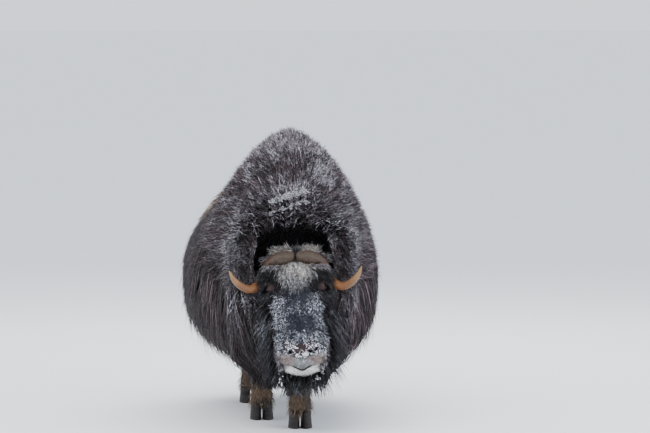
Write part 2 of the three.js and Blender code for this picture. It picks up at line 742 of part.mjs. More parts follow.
const finish = (colour, roughness) => new THREE.MeshStandardMaterial({ color: colour, roughness, metalness: 0 });
const MATERIALS = {
  coat: finish(0x3a3033, 0.95),
  mane: finish(0x4b4145, 0.95),
  face: finish(0x5d5a5e, 0.95),
  stocking: finish(0x7d6248, 0.95),
  horn: finish(0xa87436, 0.5),
  eye: finish(0x1c120c, 0.1),
  hoof: finish(0x1f1b1a, 0.6),
};

// Assembly

const muskox = new THREE.Group();

/** Adds one named mesh to a group. */
function place(group, name, solid, material) {
  const mesh = new THREE.Mesh(geometryOf(largestOf(solid)), material);
  mesh.name = name;
  group.add(mesh);
  return mesh;
}

const headFrame = new THREE.Group();
headFrame.position.set(HEAD_PLACE.x, HEAD_PLACE.y, HEAD_PLACE.z);
headFrame.rotation.set(HEAD_TURN.pitch, HEAD_TURN.roll, HEAD_TURN.yaw, "ZYX");
headFrame.updateMatrixWorld(true);
muskox.add(headFrame);

const intoBody = (solid) => solidOf(geometryOf(solid).applyMatrix4(headFrame.matrixWorld));
const intoHead = (solid) => solidOf(geometryOf(solid).applyMatrix4(headFrame.matrixWorld.clone().invert()));

// What stands in the mane, grown to clear it
const SIDES = { left: 1, right: -1 };
const headClear = intoBody(joined([headForm(GAP), ...Object.values(SIDES).map((s) => orbitSolid(s, GAP))]));
const headWorks = Object.values(SIDES).flatMap((s) => [hornSolid(s, 1), earSolid(s, 1)]).map(intoBody);

// The body, neck and mane
const core = bodySolid(FRONT_Y, REAR_Y, 0);
const coreClear = bodySolid(FRONT_Y, REAR_Y, 0, GAP);
const tail = tailSolid();
const tailClear = tailSolid(GAP);
const hollow = hollowSolid();

const legSolids = {};
for (const [name, leg] of Object.entries(LEGS)) {
  const at = (solid) => solidOf(geometryOf(solid).translate(leg.foot.x, leg.foot.y, 0));
  legSolids[name] = { whole: at(legSolid(leg)), clear: at(legSolid(leg, GAP)) };
}
const legsClear = Object.values(legSolids).map((l) => l.clear.subtract(core));

// The roots of the neck's wool start in the mane, so that the join between the two is covered
const ahead = NECK_FACE_Y - 50;
const locks = [
  ...locksOver(ahead, REAR_Y - 90, [0], SPINE, 10),
  ...locksOver(ahead, WOOL_END_Y, WOOL_ROWS, WOOL, 21),
  ...locksOver(WOOL_END_Y - 60, REAR_Y - 75, GUARD_ROWS, GUARD, 31),
  ...locksOver(FRONT_Y + 10, REAR_Y - 75, SKIRT_ROWS, SKIRT, 42),
  ...locksOver(NECK_FACE_Y, REAR_Y - 60, BELLY_ROWS, BELLY, 43, hangingLock),
  ...locksOver(FRONT_Y + 60, NECK_FACE_Y, [0], { ...SPINE, lie: () => -1.3 }, 50),
  ...locksOver(FRONT_Y + 10, NECK_FACE_Y, WOOL_ROWS, { ...WOOL, reach: 1 }, 51),
  ...frontLocks(),
  ...rearLocks(),
];
const coat = joined([core, ...locks]);

/** One stretch of the body with its part of the locks, clear of the legs and of what else passes through it. */
function coatPiece(slab, extra = []) {
  return without(coat.intersect(slab), [...legsClear, ...extra]);
}

place(muskox, "neck", coatPiece(slabOf(NECK_FACE_Y, SHOULDER_FACE_Y)), MATERIALS.mane);
place(muskox, "shoulders", coatPiece(slabOf(SHOULDER_FACE_Y, BARREL_FACE_Y)), MATERIALS.coat);
place(muskox, "barrel", coatPiece(slabOf(BARREL_FACE_Y, RUMP_FACE_Y)), MATERIALS.coat);
place(muskox, "rump", coatPiece(slabOf(RUMP_FACE_Y, FAR), [tailClear]), MATERIALS.coat);

const rim = [hollow, headClear, ...headWorks];
place(muskox, "mane_top", coatPiece(slabOf(-FAR, NECK_FACE_Y, HOOD_FLOOR_Z), rim), MATERIALS.mane);
place(muskox, "mane_left", coatPiece(slabOf(-FAR, NECK_FACE_Y, BEARD_TOP_Z, HOOD_FLOOR_Z, 0), rim), MATERIALS.mane);
place(muskox, "mane_right", coatPiece(slabOf(-FAR, NECK_FACE_Y, BEARD_TOP_Z, HOOD_FLOOR_Z, -FAR, 0), rim), MATERIALS.mane);
place(muskox, "beard", coatPiece(slabOf(-FAR, NECK_FACE_Y, -FAR, BEARD_TOP_Z), rim), MATERIALS.mane);

const neckBlock = intoHead(slabOf(NECK_FACE_Y - GAP, FAR));
place(headFrame, "head", headSolid().subtract(neckBlock), MATERIALS.face);
for (const [side, sign] of Object.entries(SIDES)) {
  const skull = headForm(GAP).add(orbitSolid(sign, GAP));
  place(headFrame, "horn_" + side, hornSolid(sign).subtract(skull), MATERIALS.horn);
  place(headFrame, "ear_" + side, without(earSolid(sign), [skull, hornSolid(sign, GAP)]), MATERIALS.face);
  const eye = new THREE.Mesh(new THREE.SphereGeometry(EYE_RADIUS, 14, 8), MATERIALS.eye);
  eye.name = "eye_" + side;
  eye.position.copy(sided(EYE, sign));
  headFrame.add(eye);
}

place(muskox, "tail", tail.subtract(coreClear), MATERIALS.coat);
for (const [name, leg] of Object.entries(LEGS)) {
  place(muskox, "leg_" + name, legSolids[name].whole.subtract(coreClear), MATERIALS.stocking);
  const hoof = place(muskox, "hoof_" + name, hoofSolid(), MATERIALS.hoof);
  hoof.position.set(leg.foot.x, leg.foot.y, 0);
}

export default muskox;
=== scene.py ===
"""A life-size muskox bull in its winter coat: one skin with solid tufts of hair, and horns, eyes and hooves.

Metres, +Z up. The animal faces -Y and its left side is +X. The body follows one envelope of sections, in
which a coat share of 0 is the core of the coat and 1 the tips of the hair. The skin lies inside the core.
"""

from __future__ import annotations

import logging
import math
from dataclasses import dataclass, field
from enum import Enum

import bpy
import numpy as np
from mathutils import Euler, Matrix, Vector

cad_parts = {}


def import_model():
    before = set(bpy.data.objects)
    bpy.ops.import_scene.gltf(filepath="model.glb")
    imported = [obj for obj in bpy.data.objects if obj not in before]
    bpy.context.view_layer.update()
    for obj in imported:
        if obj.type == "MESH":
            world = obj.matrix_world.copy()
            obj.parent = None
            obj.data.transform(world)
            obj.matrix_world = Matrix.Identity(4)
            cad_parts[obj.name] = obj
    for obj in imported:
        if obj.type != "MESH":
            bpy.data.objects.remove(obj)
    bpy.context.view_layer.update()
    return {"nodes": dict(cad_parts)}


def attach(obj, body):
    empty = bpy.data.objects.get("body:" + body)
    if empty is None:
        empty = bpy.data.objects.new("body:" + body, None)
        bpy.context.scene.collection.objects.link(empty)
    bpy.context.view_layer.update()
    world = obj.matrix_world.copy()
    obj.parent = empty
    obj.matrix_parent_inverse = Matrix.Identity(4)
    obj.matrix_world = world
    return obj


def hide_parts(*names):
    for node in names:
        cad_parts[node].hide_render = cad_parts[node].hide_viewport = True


log = logging.getLogger("muskox")

BODY = "root"
SIDES = {"left": 1.0, "right": -1.0}
MAX_PIECE_FACES = 190_000
MIRROR = np.array([-1.0, 1.0])

Array = np.ndarray
Rng = np.random.Generator
Object = bpy.types.Object
Material = bpy.types.Material
Socket = bpy.types.NodeSocket
Pair = tuple[float, float]
Triple = tuple[float, float, float]
Stop = tuple[float, float, float, float, float]
Number = float | Array
Value = Socket | float
Tint = Socket | Triple


# Numbers


def smooth(t: Array) -> Array:
    """An S-curve from 0 to 1."""
    t = np.clip(t, 0.0, 1.0)
    return t * t * (3.0 - 2.0 * t)


def ramp(value: Array, start: float, end: float) -> Array:
    """An S-curve that rises from 0 at start to 1 at end."""
    return smooth((value - start) / (end - start))


def mix(a: Number, b: Number, t: Number) -> Number:
    """The value a share t of the way from a to b."""
    return a + (b - a) * t


def unit(v: Array) -> Array:
    """Vectors of length 1."""
    return v / np.maximum(np.linalg.norm(v, axis=-1, keepdims=True), 1e-9)


def lattice_noise(points: Array, scale: float, seed: int) -> Array:
    """Smooth noise between 0 and 1.

    Args:
        points: Places, in metres, with the axis last.
        scale: Size of one bump, in metres.
        seed: Picks the pattern.

    Returns:
        One value for each place.
    """
    p = points / scale
    base = np.floor(p).astype(np.int64)
    f = smooth(p - base)
    total = np.zeros(p.shape[:-1])
    for corner in np.ndindex(2, 2, 2):
        c = base + np.array(corner)
        n = (c[..., 0] * 73856093) ^ (c[..., 1] * 19349663) ^ (c[..., 2] * 83492791) ^ (seed * 2654435761)
        n = (n ^ (n >> 13)) * 1274126177
        value = ((n ^ (n >> 16)) & 0xFFFF) / 65535.0
        weight = np.prod(np.where(np.array(corner) == 1, f, 1.0 - f), axis=-1)
        total += value * weight
    return total


@dataclass(frozen=True)
class SmoothLine:
    """A smooth line through given values that never overshoots them."""

    at: Array
    values: Array

    def __call__(self, at: Array) -> Array:
        """Reads the line.

        Args:
            at: Places along the line, which is held at both ends.

        Returns:
            The values there.
        """
        slope = np.diff(self.values) / np.diff(self.at)
        before, after = slope[:-1], slope[1:]
        safe = np.where(before + after == 0, 1.0, before + after)
        inner = np.where(before * after <= 0, 0.0, 2 * before * after / safe)
        tangent = np.concatenate([slope[:1], inner, slope[-1:]])
        x = np.clip(at, self.at[0], self.at[-1])
        i = np.clip(np.searchsorted(self.at, x, side="right") - 1, 0, len(self.at) - 2)
        width = (self.at[1:] - self.at[:-1])[i]
        t = (x - self.at[i]) / width
        return (
            (1 + 2 * t) * (1 - t) ** 2 * self.values[i]
            + t * (1 - t) ** 2 * width * tangent[i]
            + t * t * (3 - 2 * t) * self.values[i + 1]
            + t * t * (t - 1) * width * tangent[i + 1]
        )


def oval(
    angle: Array, half: Number, up: Number, down: Number, upper: Number, lower: Number
) -> tuple[Array, Array]:
    """A point of a blunt oval.

    Args:
        angle: 0 at the oval's top and a quarter turn at its +X side.
        half: Its half width.
        up: Its height above the widest line.
        down: Its depth below the widest line.
        upper: How blunt its upper half is: 2 is an ellipse, and more is squarer.
        lower: How blunt its lower half is.

    Returns:
        The places across and up.
    """
    s, c = np.sin(angle), np.cos(angle)
    power = 2.0 / np.where(c >= 0, upper, lower)
    x = half * np.sign(s) * np.abs(s) ** power
    z = np.where(c >= 0, up, down) * np.sign(c) * np.abs(c) ** power
    return x, z


# Meshes


def in_scene(name: str, data: bpy.types.ID) -> Object:
    """Puts a new object in the scene.

    Args:
        name: Name of the object.
        data: Its mesh, light or camera.

    Returns:
        The object.
    """
    obj = bpy.data.objects.new(name, data)
    bpy.context.scene.collection.objects.link(obj)
    return obj


def object_of(name: str, points: Array, faces: list[tuple[int, ...]]) -> Object:
    """Makes a mesh object.

    Args:
        name: Name of the object.
        points: Places of its points.
        faces: The points of each face, by number.

    Returns:
        The object, in the scene.
    """
    mesh = bpy.data.meshes.new(name)
    mesh.from_pydata(points.tolist(), [], faces)
    mesh.update()
    return in_scene(name, mesh)


def loft(name: str, rings: Array) -> Object:
    """A closed surface over rings of equal length, each end closed by a fan.

    Args:
        name: Name of the object.
        rings: Points, with ring, place in the ring and axis as the three dimensions.

    Returns:
        The object, with its faces pointing out.
    """
    count, around = rings.shape[:2]
    middles = [rings[0].mean(0, keepdims=True), rings[-1].mean(0, keepdims=True)]
    points = np.concatenate([rings.reshape(-1, 3), *middles])
    faces = []
    for r in range(count - 1):
        for i in range(around):
            j = (i + 1) % around
            faces.append((r * around + i, r * around + j, (r + 1) * around + j, (r + 1) * around + i))
    last = (count - 1) * around
    for i in range(around):
        j = (i + 1) % around
        faces.append((len(points) - 2, j, i))
        faces.append((len(points) - 1, last + i, last + j))
    obj = object_of(name, points, faces)
    if signed_volume(obj) < 0:
        obj.data.flip_normals()
    return obj


def signed_volume(obj: Object) -> float:
    """Measures a closed mesh.

    Args:
        obj: The mesh object.

    Returns:
        The volume inside it, below 0 where its faces point in.
    """
    co, tri = coordinates(obj), triangles(obj)
    a, b, c = co[tri[:, 0]], co[tri[:, 1]], co[tri[:, 2]]
    return float(np.einsum("ij,ij->i", a, np.cross(b, c)).sum() / 6)


def coordinates(obj: Object) -> Array:
    """Reads the points of a mesh.

    Args:
        obj: The mesh object.

    Returns:
        Their places.
    """
    co = np.empty(len(obj.data.vertices) * 3, np.float32)
    obj.data.vertices.foreach_get("co", co)
    return co.reshape(-1, 3).astype(float)


def triangles(obj: Object) -> Array:
    """Reads the triangles of a mesh.

    Args:
        obj: The mesh object.

    Returns:
        The numbers of the three points of each triangle.
    """
    obj.data.calc_loop_triangles()
    tri = np.empty(len(obj.data.loop_triangles) * 3, np.int32)
    obj.data.loop_triangles.foreach_get("vertices", tri)
    return tri.reshape(-1, 3)


def ball(name: str, centre: Triple | Array, radii: Triple, turn: Triple = (0.0, 0.0, 0.0)) -> Object:
    """A closed ball stretched to three radii and turned.

    Args:
        name: Name of the object.
        centre: Its middle.
        radii: Its half sizes before the turn.
        turn: Its turns about X, Y and Z.

    Returns:
        The object.
    """
    around, pole = 28, 0.06
    angles = np.linspace(0, 2 * math.pi, around, endpoint=False)
    heights = np.linspace(pole, math.pi - pole, 18)[:, None]
    rings = np.stack(np.broadcast_arrays(
        np.sin(heights) * np.cos(angles), np.sin(heights) * np.sin(angles), np.cos(heights)
    ), -1)
    rings = rings * np.array(radii)
    matrix = np.array(Euler(turn).to_matrix())
    return loft(name, rings @ matrix.T + np.array(centre))


def path_of(stops: Array, steps: int) -> Array:
    """A smooth line through rows of numbers.

    Args:
        stops: The rows.
        steps: How many rows to take, at even shares.

    Returns:
        The rows of the line.
    """
    at = np.arange(len(stops), dtype=float)
    wanted = np.linspace(0, len(stops) - 1, steps)
    columns = []
    for k in range(stops.shape[1]):
        v = stops[:, k]
        padded = np.concatenate([[2 * v[0] - v[1]], v, [2 * v[-1] - v[-2]]])
        i = np.minimum(wanted.astype(int), len(stops) - 2)
        t = wanted - at[i]
        a, b, c, d = padded[i], padded[i + 1], padded[i + 2], padded[i + 3]
        bend = (2 * a - 5 * b + 4 * c - d) * t**2
        columns.append(0.5 * (2 * b + (c - a) * t + bend + (3 * b - a - 3 * c + d) * t**3))
    return np.stack(columns, -1)


def tube(name: str, stops: Array, wide_axis: Triple, around: int, steps: int) -> Object:
    """A closed solid of oval rings along a path.

    Args:
        name: Name of the object.
        stops: Rows of x, y, z, half width along the wide axis and half thickness.
        wide_axis: The direction of the ovals' widths.
        around: Points in each ring.
        steps: Rings along the path.

    Returns:
        The object.
    """
    rows = path_of(stops, steps)
    centre = rows[:, :3]
    tangent = unit(np.gradient(centre, axis=0))
    axis = np.array(wide_axis, float)
    across = unit(axis - (tangent @ axis)[:, None] * tangent)
    through = np.cross(tangent, across)
    a = np.linspace(0, 2 * math.pi, around, endpoint=False)
    rings = (
        centre[:, None]
        + across[:, None] * (np.cos(a)[None, :] * rows[:, 3:4])[..., None]
        + through[:, None] * (np.sin(a)[None, :] * rows[:, 4:5])[..., None]
    )
    return loft(name, rings)


def joined(name: str, objects: list[Object]) -> Object:
    """Joins several meshes, which are removed.

    Args:
        name: Name of the object.
        objects: The mesh objects.

    Returns:
        The one object.
    """
    points, faces, start = [], [], 0
    for obj in objects:
        points.append(coordinates(obj))
        faces += [tuple(start + i for i in p.vertices) for p in obj.data.polygons]
        start += len(obj.data.vertices)
        discard(obj)
    return object_of(name, np.concatenate(points), faces)


def discard(obj: Object) -> None:
    """Removes an object and its mesh.

    Args:
        obj: The mesh object.
    """
    mesh = obj.data
    bpy.data.objects.remove(obj)
    bpy.data.meshes.remove(mesh)


def apply_modifiers(obj: Object) -> Object:
    """Replaces an object's mesh by the result of its modifiers.

    Args:
        obj: The mesh object.

    Returns:
        The same object.
    """
    graph = bpy.context.evaluated_depsgraph_get()
    made = bpy.data.meshes.new_from_object(obj.evaluated_get(graph))
    old = obj.data
    obj.modifiers.clear()
    obj.data = made
    bpy.data.meshes.remove(old)
    return obj


def fused(obj: Object, voxel: float, rounds: int) -> Object:
    """Melts overlapping closed forms into one even surface and softens it.

    Args:
        obj: The forms, as one object.
        voxel: Size of a face, in metres.
        rounds: How often the surface is softened.

    Returns:
        The same object.
    """
    remesh = obj.modifiers.new("remesh", "REMESH")
    remesh.mode = "VOXEL"
    remesh.voxel_size = voxel
    remesh.use_smooth_shade = True
    soften = obj.modifiers.new("soften", "SMOOTH")
    soften.factor = 0.5
    soften.iterations = rounds
    return apply_modifiers(obj)


def combine(obj: Object, other: Object, operation: str) -> Object:
    """Joins or cuts one closed mesh with another, which is removed.

    Args:
        obj: The mesh that stays.
        other: The other mesh.
        operation: UNION or DIFFERENCE.

    Returns:
        The first object.
    """
    boolean = obj.modifiers.new("boolean", "BOOLEAN")
    boolean.operation = operation
    boolean.solver = "MANIFOLD"
    boolean.object = other
    apply_modifiers(obj)
    discard(other)
    return obj


# The body's envelope


@dataclass(frozen=True)
class Section:
    """One section of the body. Each size is a top, a half width and a lowest height.

    at is the place of the core's section, reach how far the coat's own section lies beyond it, side how far
    the middle is to the left, wide the height of the widest line, and upper and lower how blunt the halves
    are.
    """

    at: float
    reach: float
    side: float
    wide: float
    upper: float
    lower: float
    core: Triple
    coat: Triple


@dataclass(frozen=True)
class Envelope:
    """The body from the mane's front to the rump, between the core of its coat and the tips of the hair."""

    sections: tuple[Section, ...] = (
        Section(-0.835, -0.050, -0.024, 0.765, 2.5, 2.4, (0.905, 0.180, 0.480), (0.990, 0.238, 0.300)),
        Section(-0.795, -0.052, -0.022, 0.765, 2.5, 2.4, (1.000, 0.238, 0.415), (1.050, 0.274, 0.240)),
        Section(-0.715, -0.025, -0.017, 0.760, 2.4, 2.8, (1.062, 0.256, 0.400), (1.122, 0.306, 0.200)),
        Section(-0.600, 0.0, -0.008, 0.745, 2.1, 3.1, (1.140, 0.274, 0.400), (1.205, 0.334, 0.200)),
        Section(-0.480, 0.0, 0.0, 0.725, 1.85, 3.2, (1.230, 0.298, 0.402), (1.296, 0.364, 0.206)),
        Section(-0.280, 0.0, 0.006, 0.708, 1.6, 3.2, (1.323, 0.354, 0.405), (1.383, 0.420, 0.214)),
        Section(0.000, 0.0, 0.002, 0.700, 1.45, 3.2, (1.238, 0.390, 0.405), (1.300, 0.460, 0.222)),
        Section(0.300, 0.0, 0.0, 0.692, 1.5, 3.2, (1.176, 0.402, 0.410), (1.238, 0.472, 0.230)),
        Section(0.600, 0.0, 0.0, 0.685, 1.55, 3.1, (1.140, 0.386, 0.420), (1.200, 0.456, 0.240)),
        Section(0.800, 0.020, 0.0, 0.685, 1.7, 2.8, (1.075, 0.318, 0.438), (1.140, 0.388, 0.268)),
        Section(0.905, 0.065, 0.0, 0.690, 1.9, 2.6, (0.990, 0.225, 0.470), (1.055, 0.290, 0.292)),
        Section(0.955, 0.095, 0.0, 0.700, 2.1, 2.4, (0.880, 0.095, 0.530), (0.945, 0.140, 0.335)),
    )
    girth_steps: int = 120
    end_room: float = 0.03  # how far the ends' hair may spread past the last section
    end_blunt: float = 2.4
    end_curve: float = 0.07  # how far the ends' edges lie behind their middle

    def __post_init__(self) -> None:
        """Works out the girth of the coat at even places, for walking down its outline."""
        object.__setattr__(self, "front", self.sections[0].at)
        object.__setattr__(self, "rear", self.sections[-1].at)
        at = np.array([s.at for s in self.sections])
        lines = {
            key: SmoothLine(at, np.array([getattr(s, key) for s in self.sections]))
            for key in ("reach", "side", "wide", "upper", "lower")
        }
        for i, part in enumerate(("top", "half", "low")):
            lines["core_" + part] = SmoothLine(at, np.array([s.core[i] for s in self.sections]))
            lines["coat_" + part] = SmoothLine(at, np.array([s.coat[i] for s in self.sections]))
        object.__setattr__(self, "lines", lines)
        grid = np.linspace(self.front, self.rear, 180)
        angles = np.linspace(0, math.pi, self.girth_steps + 1)
        outline = self.at_angle(grid[:, None], angles[None, :], np.ones((1, 1)))
        steps = np.linalg.norm(np.diff(outline, axis=1), axis=-1)
        lengths = np.concatenate([np.zeros((len(grid), 1)), np.cumsum(steps, 1)], 1)
        shares = np.linspace(0, 1, self.girth_steps + 1)
        table = np.stack([np.interp(shares, row / row[-1], angles) for row in lengths])
        object.__setattr__(self, "grid", grid)
        object.__setattr__(self, "girths", lengths[:, -1])
        object.__setattr__(self, "table", table)

    def span(self, line: dict[str, Number], coat: Number) -> tuple[Number, Number, Number]:
        """The top, the half width and the lowest height at a share of the coat's depth."""
        return tuple(mix(line["core_" + part], line["coat_" + part], coat) for part in ("top", "half", "low"))

    def at_angle(self, at: Number, angle: Number, coat: Number) -> Array:
        """A point of the body by its angle.

        Args:
            at: Place along the body.
            angle: Its angle from the top of the section.
            coat: 0 at the core of the coat and 1 at the tips of the hair.

        Returns:
            The places, with the axis last.
        """
        at, angle, coat = np.broadcast_arrays(at, angle, coat)
        line = {key: make(at) for key, make in self.lines.items()}
        top, half, low = self.span(line, coat)
        x, z = oval(angle, half, top - line["wide"], line["wide"] - low, line["upper"], line["lower"])
        return np.stack([line["side"] + x, at + line["reach"] * coat, line["wide"] + z], -1)

    def girth(self, at: Array) -> Array:
        """The length of the coat's outline from the top line down one side."""
        return np.interp(at, self.grid, self.girths)

    def point(self, at: Number, share: Number, coat: Number) -> Array:
        """A point of the body by its share of the way from the top line down to the middle of the belly.

        Args:
            at: Place along the body.
            share: 0 on the top line and 1 in the middle of the belly, below 0 on the right side.
            coat: 0 at the core of the coat and 1 at the tips of the hair.

        Returns:
            The places, with the axis last.
        """
        at, share, coat = np.broadcast_arrays(at, share, coat)
        row = np.clip((at - self.front) / (self.rear - self.front), 0, 1) * (len(self.grid) - 1)
        column = np.clip(np.abs(share), 0, 1) * self.girth_steps
        r = np.minimum(row.astype(int), len(self.grid) - 2)
        c = np.minimum(column.astype(int), self.girth_steps - 1)
        fr, fc = row - r, column - c
        near = mix(self.table[r, c], self.table[r, c + 1], fc)
        far = mix(self.table[r + 1, c], self.table[r + 1, c + 1], fc)
        angle = mix(near, far, fr)
        return self.at_angle(at, np.where(share < 0, -angle, angle), coat)

    def outward(self, at: Array, share: Array, coat: Number) -> Array:
        """The way out of the body at a point of its envelope.

        Args:
            at: Place along the body.
            share: Share of the girth, as for a point.
            coat: Share of the coat's depth.

        Returns:
            Directions of length 1.
        """
        near, turn = 0.006, 0.01
        side = np.where(share < 0, -1.0, 1.0)
        along = self.point(at + near, share, coat) - self.point(at - near, share, coat)
        down = self.point(at, share + turn * side, coat) - self.point(at, share - turn * side, coat)
        return unit(np.cross(down, along) * side[..., None])

    def root_uv(self, at: Array, share: Array) -> Array:
        """The places of roots on the bake map, inside its edge."""
        along = (at - self.front) / (self.rear - self.front)
        return np.stack([0.5 + 0.49 * share, along * 0.98 + 0.01], -1)

    def end_point(self, at: float, x: Array, z: Array, coat: Number) -> Array:
        """A point of the mane's front or of the rump's end.

        Args:
            at: The end's place along the body.
            x: Place across the end.
            z: Height.
            coat: Share of the coat's depth.

        Returns:
            The places, with the axis last.
        """
        x, z, coat = np.broadcast_arrays(x, z, coat)
        line = {key: float(make(np.array(at))) for key, make in self.lines.items()}
        top, half, low = self.span(line, coat)
        half = half + self.end_room
        up = top - line["wide"] + self.end_room
        down = line["wide"] - low + self.end_room
        high = np.where(z > line["wide"], up, down)
        blunt = self.end_blunt
        r = (np.abs(x / half) ** blunt + np.abs((z - line["wide"]) / high) ** blunt) ** (1 / blunt)
        y = at + line["reach"] * coat - math.copysign(self.end_curve, at) * np.minimum(1.15, r) ** 6
        return np.stack([line["side"] + x, y, z], -1)


ENVELOPE = Envelope()


# The head's frame


@dataclass(frozen=True)
class HeadFrame:
    """The head's own frame: the crown at its origin, the face down -Z and looking along -Y, in metres."""

    place: Triple = (-0.014, -0.880, 0.820)
    pitch: float = -0.21
    roll: float = -0.035
    yaw: float = -0.087

    @property
    def matrix(self) -> Matrix:
        """The head's frame in the world."""
        return Matrix.Translation(self.place) @ Euler((self.pitch, self.roll, self.yaw)).to_matrix().to_4x4()

    @staticmethod
    def set_over(local: Array) -> Array:
        """How far the muzzle is set over to its left and down.

        Args:
            local: Places in the head's frame.

        Returns:
            The shift of each place.
        """
        across, down = local[..., 0], -local[..., 2]
        side = 0.010 * ramp(down, 0.20, 0.42) + 0.006 * ramp(down, 0.44, 0.54)
        muzzle = ramp(down, 0.28, 0.40) * (1 - ramp(down, 0.46, 0.51))
        side = side + muzzle * (0.014 * ramp(across, 0.02, 0.11) - 0.002 * ramp(-across, 0.03, 0.11))
        return np.stack([side, np.zeros_like(down), -0.014 * ramp(down, 0.30, 0.46)], -1)

    def to_world(self, points: Array) -> Array:
        """Places in the world."""
        m = np.array(self.matrix)
        return (points + self.set_over(points)) @ m[:3, :3].T + m[:3, 3]

    def turn_to_world(self, vectors: Array) -> Array:
        """Directions in the world."""
        return vectors @ np.array(self.matrix)[:3, :3].T

    def turn_to_head(self, vectors: Array) -> Array:
        """Directions in the head's own frame."""
        return vectors @ np.array(self.matrix)[:3, :3]

    def to_head(self, points: Array) -> Array:
        """Undoes the turn and the shift of the muzzle, which takes a few rounds.

        Args:
            points: Places in the world.

        Returns:
            Places in the head's own frame.
        """
        m = np.array(self.matrix)
        target = (points - m[:3, 3]) @ m[:3, :3]
        local = target
        for _ in range(6):
            local = target - self.set_over(local)
        return local


HEAD = HeadFrame()
EYE_PLACE = np.array([0.116, -0.020, -0.148])
EYE_RADIUS = 0.019
NOSTRIL_PLACE = np.array([0.047, -0.072, -0.4395])


# Markings, shared by the skin and the coat


def laid(colour: Array, over: Triple, share: Array) -> Array:
    """One colour laid over others by a share."""
    return mix(colour, np.array(over), share[..., None])


